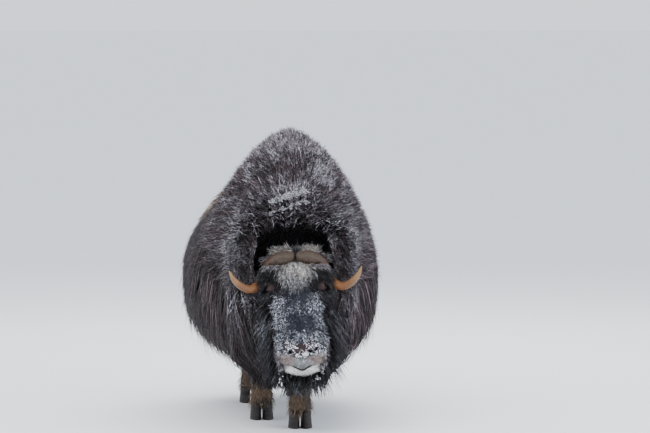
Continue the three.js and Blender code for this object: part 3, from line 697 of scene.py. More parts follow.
@dataclass(frozen=True)
class Markings:
    """The colours of the animal by place, the same on the skin and on the coat, as linear RGB."""

    flank: Triple = (0.021, 0.014, 0.016)
    wool: Triple = (0.066, 0.048, 0.055)
    dome: Triple = (0.100, 0.074, 0.076)
    saddle: Triple = (0.23, 0.165, 0.11)
    # cavity: the near-black of the mane's hollow, partly the dark hair there and partly painted shade
    cavity: Triple = (0.007, 0.005, 0.006)
    beard: Triple = (0.014, 0.011, 0.013)
    stocking: Triple = (0.30, 0.205, 0.135)
    shin: Triple = (0.135, 0.105, 0.085)
    face: Triple = (0.050, 0.048, 0.066)
    bridge: Triple = (0.036, 0.040, 0.060)
    # socket: a near-black, laid on the temples and also used as painted shade in the hollow beside the eye
    # and along the mouth's line
    socket: Triple = (0.012, 0.009, 0.011)
    lid: Triple = (0.058, 0.032, 0.034)
    forehead: Triple = (0.80, 0.73, 0.66)
    brow: Triple = (0.26, 0.22, 0.22)
    fluff: Triple = (0.82, 0.75, 0.69)
    lips: Triple = (0.36, 0.29, 0.27)
    lower_lip: Triple = (0.90, 0.89, 0.86)
    upper_lip: Triple = (0.30, 0.31, 0.31)
    nose: Triple = (0.030, 0.013, 0.014)

    def coat(self, points: Array) -> Array:
        """The colour of the long coat.

        Args:
            points: Places in the world.

        Returns:
            The colours.
        """
        y, z = points[..., 1], points[..., 2]
        patch = lattice_noise(points, 0.12, 3)
        wool = ramp(-y, -0.02, 0.34) * ramp(z, 0.55, 1.0)
        # hood: painted shade, less of the paler wool colour on the hood's front below its overhang
        hood = ramp(-y, 0.66, 0.80) * (1 - ramp(z, 1.0, 1.1))
        wool = wool * mix(0.6, 1.15, patch) * (1 - 0.35 * hood)
        colour = mix(np.array(self.flank), np.array(self.wool), wool[..., None])
        dome = ramp(z, 1.265, 1.305) * ramp(-y, -0.05, 0.1)
        colour = laid(colour, self.dome, dome)
        # left: painted light, the front of the coat on the left side made brighter as if lit more strongly
        left = ramp(points[..., 0], 0.06, 0.26) * ramp(-y, 0.1, 0.5) * (1 - ramp(z, 0.75, 0.95))
        colour = colour * mix(1.0, 1.75, left)[..., None]
        saddle = (1 - ramp(np.abs(points[..., 0]), 0.15, 0.25)) * ramp(y, -0.06, 0.12)
        saddle = saddle * (1 - ramp(y, 0.34, 0.60)) * ramp(z + 0.06 * patch, 1.05, 1.21)
        return laid(colour, self.saddle, saddle * 0.85)

    def leg(self, points: Array) -> Array:
        """The colour of the legs.

        Args:
            points: Places in the world.

        Returns:
            The colours.
        """
        patch = lattice_noise(points, 0.07, 4)
        colour = mix(np.array(self.stocking), np.array(self.shin), ramp(patch, 0.35, 0.75)[..., None])
        return laid(colour, self.flank, ramp(points[..., 2], 0.36, 0.50))

    def head(self, local: Array) -> Array:
        """The colour of the head.

        Args:
            local: Places in the head's frame.

        Returns:
            The colours.
        """
        x, y, z = np.abs(local[..., 0]), local[..., 1], local[..., 2]
        fleck = lattice_noise(local, 0.010, 7)
        patch = lattice_noise(local, 0.035, 8)
        colour = np.broadcast_to(np.array(self.face), local.shape).copy()
        crown = ramp(z, -0.006, 0.012) * ramp(x, 0.010, 0.022)
        bridge = ramp(-z, 0.14, 0.2) * (1 - ramp(x, 0.02, 0.07))
        colour = laid(colour, self.bridge, bridge)
        temple = ramp(x, 0.035, 0.075) * (1 - ramp(-z, 0.17, 0.22))
        colour = laid(colour, self.socket, temple)
        colour = mix(colour, np.array(self.fluff) * 0.9, crown[..., None])
        brow = (1 - ramp(np.abs(z + 0.052 + 0.2 * (x - 0.1)), 0.006, 0.018)) * ramp(x, 0.055, 0.08)
        colour = laid(colour, self.brow, brow * 0.8)
        eye = np.linalg.norm(np.stack([x, y, z], -1) - EYE_PLACE, axis=-1)
        colour = laid(colour, self.lid, 1 - ramp(eye, 0.023, 0.030))
        width = mix(0.072, 0.020, ramp(-z, 0.03, 0.16))
        peak = (1 - ramp(x / width, 0.7, 1.3)) * (1 - ramp(-z, 0.10, 0.15))
        peak = peak * ramp(0.10 - y, 0.0, 0.05) * ramp(-z, 0.018, 0.034)
        # hollow: painted shade, near-black on the head's sides round the eye, outside its lids
        hollow = ramp(x, 0.090, 0.112) * (1 - ramp(-z, 0.195, 0.24))
        colour = laid(colour, self.socket, hollow * ramp(eye, 0.024, 0.032))
        peak = peak * mix(0.25, 1.15, fleck) * mix(1.0, 0.6, ramp(-z, 0.05, 0.14))
        colour = laid(colour, self.forehead, peak)
        lips = ramp(-z + 0.30 * x, 0.462, 0.480) * (1 - ramp(x, 0.098, 0.112))
        mottled = np.array(self.lips) * mix(0.45, 1.25, 0.5 * fleck + 0.5 * patch)[..., None]
        colour = mix(colour, mottled, lips[..., None])
        middle = 1 - ramp(np.hypot(x / 0.044, (z + 0.488) / 0.024), 0.7, 1.2)
        colour = mix(colour, np.array(self.upper_lip) * mix(0.5, 1.7, patch)[..., None], middle[..., None])
        crescent = ramp(self.mouth_line(x) - z, 0.0, 0.005) * (1 - ramp(x, 0.092, 0.106))
        colour = mix(colour, np.array(self.lower_lip) * mix(0.8, 1.05, patch)[..., None], crescent[..., None])
        # Painted shadow: a near-black line along the mouth's groove, fading towards the corners
        mouth_shade = 1 - ramp(np.abs(z - self.mouth_line(x)), 0.0025, 0.0055)
        mouth_shade = mouth_shade * mix(1.0, 0.1, ramp(x, 0.030, 0.050)) * ramp(-y, -0.06, 0.0)
        colour = laid(colour, self.socket, mouth_shade)
        colour = laid(colour, self.nose, self.pad(local))
        under = ramp(y, 0.0, 0.05) * ramp(-z, 0.40, 0.46) + ramp(y, 0.06, 0.12)
        return laid(colour, self.beard, np.clip(under, 0, 1))

    @staticmethod
    def mouth_line(x: Array) -> Array:
        """The height of the mouth's line in the head's frame, lowest in the middle."""
        return -0.500 - 0.019 * np.exp(-((x / 0.030) ** 2)) + 0.012 * (np.abs(x) / 0.10) ** 2

    @staticmethod
    def pad(local: Array) -> Array:
        """Finds the bare pad between and round the nostrils.

        Args:
            local: Places in the head's frame.

        Returns:
            How far each place belongs to the pad, from 0 to 1.
        """
        x, y, z = np.abs(local[..., 0]), local[..., 1], local[..., 2]
        ragged = 0.030 * (lattice_noise(local, 0.014, 19) - 0.5)
        low = -0.462 + 0.40 * np.maximum(x - 0.030, 0) + 0.4 * ragged
        inside = ramp(z - low, -0.004, 0.008) * (1 - ramp(z + 0.406 - 0.20 * x + ragged, -0.010, 0.012))
        return inside * (1 - ramp(x, 0.062, 0.078)) * ramp(-y, 0.01, 0.03)

    @staticmethod
    def drip(local: Array) -> Array:
        """Finds the ice that hangs below the middle of the pad.

        Args:
            local: Places in the head's frame.

        Returns:
            How much of it is at each place, from 0 to 1.
        """
        x, z = local[..., 0], local[..., 2]
        clump = ramp(lattice_noise(local, 0.009, 13), 0.25, 0.45)
        return np.exp(-(((z + 0.456) / 0.014) ** 2)) * (1 - ramp(np.abs(x - 0.004), 0.016, 0.036)) * clump

    def frost_head(self, local: Array) -> Array:
        """How much frost lies on the head.

        Args:
            local: Places in the head's frame.

        Returns:
            The frost, from 0 to 1.
        """
        x, z = local[..., 0], local[..., 2]
        side = np.abs(x)
        clump = lattice_noise(local, 0.026, 12) * 0.5 + lattice_noise(local, 0.009, 13) * 0.5
        temple = ramp(side, 0.088, 0.11) * (1 - ramp(-z, 0.20, 0.25))
        down = ramp(-z, 0.150, 0.21) * (1 - ramp(-z, 0.445, 0.465)) * (1 - temple)
        edge = np.maximum(ramp(side, 0.028, 0.078), 0.75 * ramp(-z, 0.315, 0.37))
        frost = down * mix(0.45, 1.15, edge) * ramp(clump, mix(0.40, 0.22, edge), mix(0.66, 0.56, edge))
        arc = np.exp(-(((z + 0.262 + 7.0 * (x - 0.004) ** 2) / 0.0045) ** 2))
        arc = arc * (1 - ramp(np.abs(x - 0.004), 0.020, 0.028))
        glaze = (1 - ramp(np.hypot(x / 0.060, (z + 0.487) / 0.018), 0.7, 1.3)) * ramp(clump, 0.42, 0.56)
        return np.clip(frost + 0.9 * arc + 0.8 * glaze, 0, 1)

    def frost_coat(self, points: Array, outward: Array) -> Array:
        """How much frost lies on the coat: most where it faces up, least on the hood's front.

        Args:
            points: Places in the world.
            outward: The way out of the coat at each of them.

        Returns:
            The frost, from 0 to 1.
        """
        x, y, z = points[..., 0], points[..., 1], points[..., 2]
        ripple = lattice_noise(points * np.array([0.42, 0.7, 1.25]), 0.050, 21)
        clump = ripple * 0.42 + lattice_noise(points, 0.017, 22) * 0.58
        front = ramp(-y, 0.05, 0.42) * ramp(z, 0.58, 0.92)
        up = ramp(outward[..., 2], 0.05, 0.60)
        side = np.abs(x - HOLLOW.x)
        rim = ramp(side, 0.225, 0.28) * (1 - ramp(side, 0.33, 0.38)) * ramp(-y, 0.50, 0.70)
        start = mix(0.470, 0.33, rim)
        cover = mix(0.05, 1.0, front) * mix(0.26, 0.92, np.maximum(up, rim))
        cover = cover * ramp(clump, start, start + 0.15)
        cover = np.maximum(cover, 0.27 * ramp(z, 1.27, 1.31) * front)
        cheek = ramp(z, 0.40, 0.50) * (1 - ramp(z, 0.62, 0.72)) * ramp(-y, 0.55, 0.72)
        cheek = cheek * ramp(side, 0.09, 0.13)
        cover = np.maximum(cover, 0.6 * cheek * ramp(clump, 0.44, 0.60))
        lee = np.exp(-(((z - 1.065) / 0.055) ** 2)) * ramp(-y, 0.40, 0.55) * (1 - rim)
        return np.clip(cover * (1 - 0.65 * lee) + 0.55 * self.drift(points), 0, 1)

    @staticmethod
    def drift(points: Array) -> Array:
        """Finds the snow that lies in two arcs across the hood's front.

        Args:
            points: Places in the world.

        Returns:
            How much of it is at each place, from 0 to 1.
        """
        x, y, z = points[..., 0], points[..., 1], points[..., 2]
        across = np.clip((x + 0.135) / 0.165, 0, 1)
        reach = ramp(x, -0.150, -0.120) * (1 - ramp(x, 0.030, 0.065)) * ramp(-y, 0.45, 0.55)
        upper = np.exp(-(((z - 1.038 - 0.066 * np.sqrt(across)) / 0.0075) ** 2))
        lower = np.exp(-(((z - 1.012 - 0.050 * across) / 0.0055) ** 2))
        return reach * np.clip(upper + 0.6 * lower, 0, 1)


MARKINGS = Markings()


# Finishes


class Shader:
    """The node tree of one finish, with a short way to add each kind of node."""

    def __init__(self, name: str) -> None:
        """Starts a material with a bare Principled shader.

        Args:
            name: Name of the material.
        """
        self.material = bpy.data.materials.new(name)
        self.material.use_nodes = True
        self.nodes, self.links = self.material.node_tree.nodes, self.material.node_tree.links
        self.principled = self.nodes["Principled BSDF"]

    def give(self, socket: Socket, value: Value | Tint) -> None:
        """Gives a socket its value.

        Args:
            socket: The socket.
            value: Another socket to link, a number or a colour.
        """
        if isinstance(value, Socket):
            self.links.new(value, socket)
        else:
            socket.default_value = value if isinstance(value, (int, float)) else (*value, 1.0)

    def attribute(self, name: str, output: str = "Fac") -> Socket:
        """One of the piece's own attributes.

        Args:
            name: Name of the attribute.
            output: Which output of its node to take.

        Returns:
            The socket that reads it.
        """
        node = self.nodes.new("ShaderNodeAttribute")
        node.attribute_name = name
        return node.outputs[output]

    def place(self) -> Socket:
        """The place on the piece, in metres."""
        return self.nodes.new("ShaderNodeTexCoord").outputs["Object"]

    def vector(self, *parts: Socket) -> Socket:
        """A vector of up to three numbers.

        Args:
            parts: The sockets of the numbers.

        Returns:
            The vector.
        """
        node = self.nodes.new("ShaderNodeCombineXYZ")
        for part, socket in zip(parts, node.inputs):
            self.links.new(part, socket)
        return node.outputs[0]

    def sum(self, operation: str, *values: Value) -> Socket:
        """The result of one operation on sockets or numbers.

        Args:
            operation: The operation.
            values: What it works on.

        Returns:
            The result.
        """
        node = self.nodes.new("ShaderNodeMath")
        node.operation = operation
        for value, socket in zip(values, node.inputs):
            self.give(socket, value)
        return node.outputs[0]

    def times(self, a: Value, b: Value) -> Socket:
        """The product of two numbers."""
        return self.sum("MULTIPLY", a, b)

    def mix(self, share: Value, a: Tint, b: Tint, blend: str = "MIX") -> Socket:
        """Two colours mixed by a share.

        Args:
            share: How much of the second colour there is.
            a: The first colour.
            b: The second colour.
            blend: The way they are mixed.

        Returns:
            The mixed colour.
        """
        node = self.nodes.new("ShaderNodeMix")
        node.data_type = "RGBA"
        node.blend_type = blend
        for index, value in ((0, share), (6, a), (7, b)):
            self.give(node.inputs[index], value)
        return node.outputs[2]

    def dimmed(self, colour: Tint, factor: float) -> Socket:
        """A colour times a factor."""
        return self.mix(1.0, colour, (factor,) * 3, "MULTIPLY")

    def noise(self, vector: Socket, scale: float, detail: float = 3.0) -> Socket:
        """Noise over a vector.

        Args:
            vector: The places that it is read at.
            scale: How many bumps it has in a metre.
            detail: How many finer layers it has.

        Returns:
            The noise, between 0 and 1.
        """
        node = self.nodes.new("ShaderNodeTexNoise")
        node.inputs["Scale"].default_value = scale
        node.inputs["Detail"].default_value = detail
        self.links.new(vector, node.inputs["Vector"])
        return node.outputs["Fac"]

    def held(
        self, value: Socket, low: float, high: float, to_low: float = 0.0, to_high: float = 1.0
    ) -> Socket:
        """Moves a value from one range to another and holds it there.

        Args:
            value: The value.
            low: Start of its range.
            high: End of its range.
            to_low: Start of the new range.
            to_high: End of the new range.

        Returns:
            The new value.
        """
        node = self.nodes.new("ShaderNodeMapRange")
        for key, number in zip(("From Min", "From Max", "To Min", "To Max"), (low, high, to_low, to_high)):
            node.inputs[key].default_value = number
        self.links.new(value, node.inputs["Value"])
        return node.outputs["Result"]

    def bump(self, height: Socket, strength: float, distance: float) -> None:
        """Adds fine relief.

        Args:
            height: The height at each place.
            strength: How strong the relief looks.
            distance: Its depth, in metres.
        """
        node = self.nodes.new("ShaderNodeBump")
        node.inputs["Strength"].default_value = strength
        node.inputs["Distance"].default_value = distance
        self.links.new(height, node.inputs["Height"])
        self.links.new(node.outputs[0], self.principled.inputs["Normal"])

    def finished(self, colour: Tint, roughness: Value, **others: float) -> Material:
        """Gives the surface its colour and gloss.

        Args:
            colour: Its colour.
            roughness: Its roughness.
            **others: Other inputs of the shader, with underscores for spaces.

        Returns:
            The material.
        """
        self.give(self.principled.inputs["Base Color"], colour)
        self.give(self.principled.inputs["Roughness"], roughness)
        for name, value in others.items():
            self.principled.inputs[name.replace("_", " ")].default_value = value
        return self.material


@dataclass(frozen=True)
class HairFinish:
    """Hair: the markings' colour, darker at the root, with strands along it and frost on its outer part."""

    name: str
    roughness: float = 0.62
    root_shade: float = 0.35
    root_range: Pair = (0.05, 0.7)
    frost_colour: Triple = (0.62, 0.60, 0.66)
    frost_range: Pair = (0.25, 0.75)
    strands: float = 7.0
    strand_waves: float = 1.6
    strand_shade: float = 0.45
    strand_light: float = 1.55
    tone_shade: float = 0.45
    tone_step: float = 40.0
    fleck_scale: float = 95.0
    gap_shade: float = 0.45
    bump: float = 0.35

    def build(self) -> Material:
        """Builds the shader.

        Returns:
            The material.
        """
        shader = Shader(self.name)
        colour = shader.attribute("marking", "Color")
        along, across, tone, frost = (shader.attribute(key) for key in ("along", "across", "tone", "frost"))
        rates = zip((across, along, tone), (self.strands, self.strand_waves, self.tone_step))
        spread = shader.vector(*(shader.times(share, rate) for share, rate in rates))
        strand = shader.held(shader.noise(spread, 1.0, 2.0), 0.32, 0.68)
        dark, light = shader.dimmed(colour, self.strand_shade), shader.dimmed(colour, self.strand_light)
        hair = shader.mix(strand, dark, light)
        hair = shader.mix(shader.held(along, *self.root_range), shader.dimmed(hair, self.root_shade), hair)
        hair = shader.mix(tone, shader.dimmed(hair, self.tone_shade), hair)
        fleck = shader.noise(shader.place(), self.fleck_scale)
        hair = shader.mix(1.0, hair, shader.held(fleck, 0.36, 0.52, self.gap_shade, 1.0), "MULTIPLY")
        cover = shader.times(shader.held(along, *self.frost_range), frost)
        cover = shader.times(cover, shader.held(fleck, 0.44, 0.58, 0.12, 1.25))
        shader.bump(strand, self.bump, 0.002)
        hair = shader.mix(cover, hair, self.frost_colour)
        sheen = {"Sheen_Weight": 0.06, "Sheen_Roughness": 0.5}
        return shader.finished(hair, self.roughness, Specular_IOR_Level=0.2, **sheen)


@dataclass(frozen=True)
class SkinFinish:
    """The skin: dense underfur in the markings' colours, and bare wet leather on the nose."""

    name: str = "skin"
    hair_scale: float = 420.0
    pore_scale: float = 320.0
    root_shade: float = 0.45
    rime: Triple = (0.66, 0.68, 0.74)
    rime_scale: float = 150.0
    fur_roughness: float = 0.85
    nose_roughness: float = 0.62
    bump: float = 0.5

    def build(self) -> Material:
        """Builds the shader.

        Returns:
            The material.
        """
        shader = Shader(self.name)
        colour = shader.attribute("marking", "Color")
        bare, frost = shader.attribute("bare"), shader.attribute("frost")
        place = shader.place()
        hairs = shader.noise(place, self.hair_scale, 4.0)
        pores = shader.nodes.new("ShaderNodeTexVoronoi")
        pores.inputs["Scale"].default_value = self.pore_scale
        shader.links.new(place, pores.inputs["Vector"])
        fur = shader.mix(shader.held(hairs, 0.35, 0.65), shader.dimmed(colour, self.root_shade), colour)
        lifted = shader.sum("MULTIPLY_ADD", frost, 0.22, shader.noise(place, self.rime_scale, 5.0))
        cover = shader.times(shader.held(lifted, 0.60, 0.65), shader.held(frost, 0.0, 0.15))
        shader.bump(shader.mix(bare, hairs, pores.outputs["Distance"]), self.bump, 0.003)
        roughness = shader.held(bare, 0.0, 1.0, self.fur_roughness, self.nose_roughness)
        return shader.finished(shader.mix(cover, fur, self.rime), roughness, Specular_IOR_Level=0.25)


@dataclass(frozen=True)
class HornFinish:
    """Horn: brown and coarse at the boss, smooth and paler towards the tips, which are yellow-grey."""

    name: str = "horn"
    boss: Triple = (0.070, 0.047, 0.031)
    base: Triple = (0.085, 0.038, 0.022)
    shaft: Triple = (0.215, 0.088, 0.028)
    tip: Triple = (0.36, 0.21, 0.075)
    # groove: a multiplier that darkens the grain's low places, painted shade in the grooves
    groove: Triple = (0.36, 0.30, 0.27)
    stain: Triple = (0.055, 0.034, 0.024)
    grain_across: float = 17.0
    grain_along: float = 26.0
    stain_scale: float = 46.0
    bump: float = 0.8

    def build(self) -> Material:
        """Builds the shader.

        Returns:
            The material.
        """
        shader = Shader(self.name)
        along, across = shader.attribute("along"), shader.attribute("across")
        grain = shader.vector(shader.times(across, self.grain_across), shader.times(along, self.grain_along))
        grain = shader.noise(grain, 2.0, 5.0)
        lengths = shader.nodes.new("ShaderNodeValToRGB")
        stops = lengths.color_ramp.elements
        stops[0].position, stops[0].color = 0.27, (*self.boss, 1)
        stops[1].position, stops[1].color = 0.98, (*self.tip, 1)
        for share, colour in ((0.37, self.base), (0.58, self.base), (0.68, self.shaft), (0.84, self.shaft)):
            stops.new(share).color = (*colour, 1)
        shader.links.new(along, lengths.inputs[0])
        # Painted shade: the grain's grooves are darkened by the groove factor, less so along the shaft.
        dark = shader.mix(1.0, lengths.outputs[0], self.groove, "MULTIPLY")
        groove_shade_fade = shader.held(along, 0.35, 0.65, 0.0, 0.6)
        shade = shader.sum("MAXIMUM", shader.held(grain, 0.38, 0.60), groove_shade_fade)
        stain = shader.held(shader.noise(shader.place(), self.stain_scale, 5.0), 0.44, 0.60, 0.0, 0.75)
        stain = shader.times(stain, shader.held(along, 0.35, 0.6, 1.0, 0.35))
        colour = shader.mix(stain, shader.mix(shade, dark, lengths.outputs[0]), self.stain)
        shader.bump(grain, self.bump, 0.003)
        return shader.finished(colour, shader.held(along, 0.2, 0.6, 0.7, 0.36))


@dataclass(frozen=True)
class EyeFinish:
    """A wet dark brown eye."""

    name: str = "eye"
    dark: Triple = (0.010, 0.005, 0.004)
    light: Triple = (0.045, 0.018, 0.010)

    def build(self) -> Material:
        """Builds the shader.

        Returns:
            The material.
        """
        shader = Shader(self.name)
        fleck = shader.held(shader.noise(shader.place(), 300.0), 0.4, 0.65)
        wet = {"Coat_Weight": 0.3, "Coat_Roughness": 0.03}
        return shader.finished(shader.mix(fleck, self.dark, self.light), 0.08, Specular_IOR_Level=0.25, **wet)


@dataclass(frozen=True)
class HoofFinish:
    """Worn black hoof with fine rings across it and pale scratches."""

    name: str = "hoof"
    dark: Triple = (0.009, 0.008, 0.008)
    light: Triple = (0.035, 0.028, 0.025)

    def build(self) -> Material:
        """Builds the shader.

        Returns:
            The material.
        """
        shader = Shader(self.name)
        squeezed = shader.nodes.new("ShaderNodeMapping")
        squeezed.inputs["Scale"].default_value = (1.0, 1.0, 9.0)
        shader.links.new(shader.place(), squeezed.inputs["Vector"])
        rings = shader.noise(squeezed.outputs[0], 22.0, 4.0)
        shader.bump(rings, 0.4, 0.002)
        colour = shader.mix(shader.held(rings, 0.35, 0.7), self.dark, self.light)
        return shader.finished(colour, 0.6, Specular_IOR_Level=0.25)


# The skin


@dataclass(frozen=True)
class Leg:
    """One leg: where its hoof stands, its sizes, and the way its middle line leans from stop to stop.

    Each size is a height, a half depth and a half width, and each lean is a place from the foot.
    """

    foot: Pair
    sizes: tuple[Triple, ...]
    lean: tuple[Pair, ...]

    def rows(self, shrink: float) -> Array:
        """The stops in the world as x, y, z, half depth and half width, thinned by the depth of the fur."""
        stops = np.concatenate([np.array(self.lean, float), np.array(self.sizes)], 1)
        return stops + np.array([self.foot[0], self.foot[1], 0, -shrink, -shrink])


FORE_SIZES = (
    (0.078, 0.056, 0.058), (0.106, 0.058, 0.060), (0.172, 0.050, 0.049), (0.270, 0.047, 0.046),
    (0.335, 0.056, 0.054), (0.430, 0.070, 0.062), (0.560, 0.098, 0.076), (0.680, 0.110, 0.080),
)
HIND_SIZES = (
    (0.078, 0.054, 0.055), (0.106, 0.055, 0.056), (0.172, 0.047, 0.046), (0.280, 0.048, 0.045),
    (0.370, 0.062, 0.052), (0.450, 0.078, 0.060), (0.560, 0.110, 0.078), (0.680, 0.120, 0.086),
)
LEGS = {
    "left_fore": Leg((0.030, -0.610), FORE_SIZES, (
        (0, 0.004), (0, 0.006), (0.006, 0.022), (0.024, 0.058), (0.038, 0.084), (0.060, 0.118),
        (0.090, 0.170),
        (0.110, 0.215),
    )),
    "right_fore": Leg((-0.122, -0.235), FORE_SIZES, (
        (0, 0.004), (0, 0), (-0.002, -0.014), (-0.008, -0.044), (-0.012, -0.060), (-0.020, -0.072),
        (-0.030, -0.088), (-0.030, -0.100),
    )),
    "left_hind": Leg((0.128, 0.812), HIND_SIZES, (
        (0, 0.004), (0, 0), (0.002, -0.004), (0.008, 0), (0.012, 0.008), (0.022, -0.030), (0.034, -0.080),
        (0.040, -0.110),
    )),
    "right_hind": Leg((-0.124, 0.520), HIND_SIZES, (
        (0, 0.004), (0, 0.006), (-0.002, 0.026), (-0.008, 0.074), (-0.012, 0.110), (-0.022, 0.108),
        (-0.034, 0.110), (-0.040, 0.120),
    )),
}


@dataclass(frozen=True)
class HeadRow:
    """One section of the head: front and back are the depths of its two sides."""

    at: float
    half: float
    front: float
    back: float
    blunt: float


@dataclass(frozen=True)
class HeadForm:
    """The shape of the head in its own frame."""

    rows: tuple[HeadRow, ...] = (
        HeadRow(-0.034, 0.074, -0.044, -0.180, 2.3),
        HeadRow(-0.020, 0.100, -0.024, -0.208, 2.4),
        HeadRow(0.020, 0.122, 0.004, -0.238, 2.6),
        HeadRow(0.080, 0.131, 0.032, -0.250, 2.7),
        HeadRow(0.150, 0.127, 0.046, -0.244, 2.8),
        HeadRow(0.220, 0.117, 0.054, -0.222, 2.6),
        HeadRow(0.300, 0.113, 0.062, -0.190, 2.5),
        HeadRow(0.370, 0.112, 0.068, -0.155, 2.5),
        HeadRow(0.425, 0.112, 0.072, -0.125, 2.6),
        HeadRow(0.468, 0.107, 0.066, -0.100, 2.6),
        HeadRow(0.502, 0.084, 0.050, -0.078, 2.4),
        HeadRow(0.524, 0.054, 0.030, -0.054, 2.2),
        HeadRow(0.535, 0.024, 0.008, -0.030, 2.0),
    )
    depth: float = 0.004  # how far the skin lies inside the short fur
    voxel: float = 0.0034
    lid: float = 0.0050
    eye_gap: float = 0.0004
    mouth_width: float = 0.0042

    def point(self, at: Array, angle: Array, grow: float = 0.0) -> Array:
        """A point of the plain head.

        Args:
            at: Place down the face.
            angle: Angle from the front of the face.
            grow: How far the point lies outside the head.

        Returns:
            The places in the head's frame.
        """
        half, front, back, blunt = (self.line(key)(at) for key in ("half", "front", "back", "blunt"))
        widest = mix(back, front, 0.6)
        x, z = oval(angle, half + grow, front - widest + grow, widest - back + grow, blunt, 2.0)
        return np.stack([x, -(widest + z), -at], -1)

    def line(self, key: str) -> SmoothLine:
        """How one size of the sections changes down the face."""
        return SmoothLine(np.array([r.at for r in self.rows]), np.array([getattr(r, key) for r in self.rows]))

    def plain(self, grow: float) -> Object:
        """The plain head as a closed mesh.

        Args:
            grow: How far it lies outside the head.

        Returns:
            The object.
        """
        at = np.linspace(self.rows[0].at - grow, self.rows[-1].at + grow, 90)
        angle = np.linspace(0, 2 * math.pi, 72, endpoint=False)
        return loft("plain_head", self.point(*np.broadcast_arrays(at[:, None], angle), grow))

    def side_forms(self, side: float) -> list[Object]:
        """Makes the forms of one side of the face, and its ear.

        Args:
            side: 1 for the left and -1 for the right.

        Returns:
            Closed forms that overlap the plain head.
        """
        eye, nostril = EYE_PLACE * (side, 1, 1), NOSTRIL_PLACE * (side, 1, 1)
        return [
            ball("brow", eye + (-side * 0.022, 0.024, 0.006), (0.033, 0.044, 0.044)),
            ball("lids", eye, (EYE_RADIUS + self.lid,) * 3),
            ball("brow_ridge", (side * 0.106, -0.016, -0.084), (0.038, 0.027, 0.014), (0, side * 0.25, 0)),
            ball("nostril_rim", nostril + (0, 0.010, 0.002), (0.031, 0.024, 0.024), (0, side * 0.4, 0)),
            ball("cheekbone", (side * 0.088, 0.012, -0.215), (0.034, 0.05, 0.075), (0, side * 0.1, 0)),
            ball(
                "ear", (side * 0.160, 0.122, -0.052), (0.058, 0.014, 0.031), (0.2, side * -0.35, side * 0.1)
            ),
            ball("ear_root", (side * 0.112, 0.122, -0.062), (0.034, 0.017, 0.020)),
        ]

    def side_cuts(self, side: float) -> list[Object]:
        """The openings of one side of the face: the eye's socket and slit, the nostril and the ear's cup.

        Args:
            side: 1 for the left and -1 for the right.

        Returns:
            Closed forms to cut from the head.
        """
        eye, nostril = EYE_PLACE * (side, 1, 1), NOSTRIL_PLACE * (side, 1, 1)
        return [
            ball("socket", eye, (EYE_RADIUS + self.eye_gap,) * 3),
            ball("slit", eye + (side * 0.017, -0.015, 0), (0.018, 0.023, 0.0105), (0.3, 0, 0)),
            ball("nostril", nostril, (0.0165, 0.024, 0.0095), (0, side * 0.45, 0)),
            ball("comma", nostril + (side * 0.016, 0.004, 0.009), (0.007, 0.018, 0.013), (0, side * 0.6, 0)),
            ball(
                "cup", (side * 0.168, 0.110, -0.051), (0.043, 0.015, 0.021), (0.2, side * -0.35, side * 0.1)
            ),
        ]

    def build(self) -> Object:
        """Makes the head's skin with brows, lids, nostrils, lips and ears.

        Returns:
            The skin in the head's own frame.
        """
        forms = [self.plain(-self.depth)]
        for side in SIDES.values():
            forms += self.side_forms(side)
        forms.append(ball("nose_pad", (0, -0.044, -0.434), (0.106, 0.034, 0.052)))
        forms.append(ball("upper_lip", (0, -0.036, -0.480), (0.094, 0.030, 0.028)))
        forms.append(ball("lower_lip", (0, -0.016, -0.514), (0.080, 0.036, 0.016)))
        forms.append(ball("chin", (0, 0.008, -0.506), (0.066, 0.044, 0.030)))
        head = fused(joined("head_skin", forms), self.voxel, 7)
        for side in SIDES.values():
            for cut in self.side_cuts(side):
                combine(head, cut, "DIFFERENCE")
        return combine(head, self.mouth(), "DIFFERENCE")

    def mouth(self) -> Object:
        """Makes the groove of the mouth round the muzzle, which dips in the middle and rises to both corners.

        Returns:
            A closed form to cut from the head.
        """
        count = 57
        across = np.linspace(-0.14, 0.14, count)
        rows = []
        for y in np.linspace(-0.12, 0.040, 23):
            rise = 0.050 * ramp(np.array(y), -0.050, 0.020)
            rows.append(np.stack([across, np.full(count, y), MARKINGS.mouth_line(across) + rise], -1))
        sheet = np.stack(rows)
        half = np.zeros((count, 3))
        half[:, 2] = self.mouth_width / 2 * mix(1.0, 0.15, ramp(np.abs(across), 0.030, 0.060))
        rings = np.concatenate([sheet + half, sheet[:, ::-1] - half], 1)
        slab = loft("mouth", rings)
        return combine(slab, self.plain(-0.015), "DIFFERENCE")


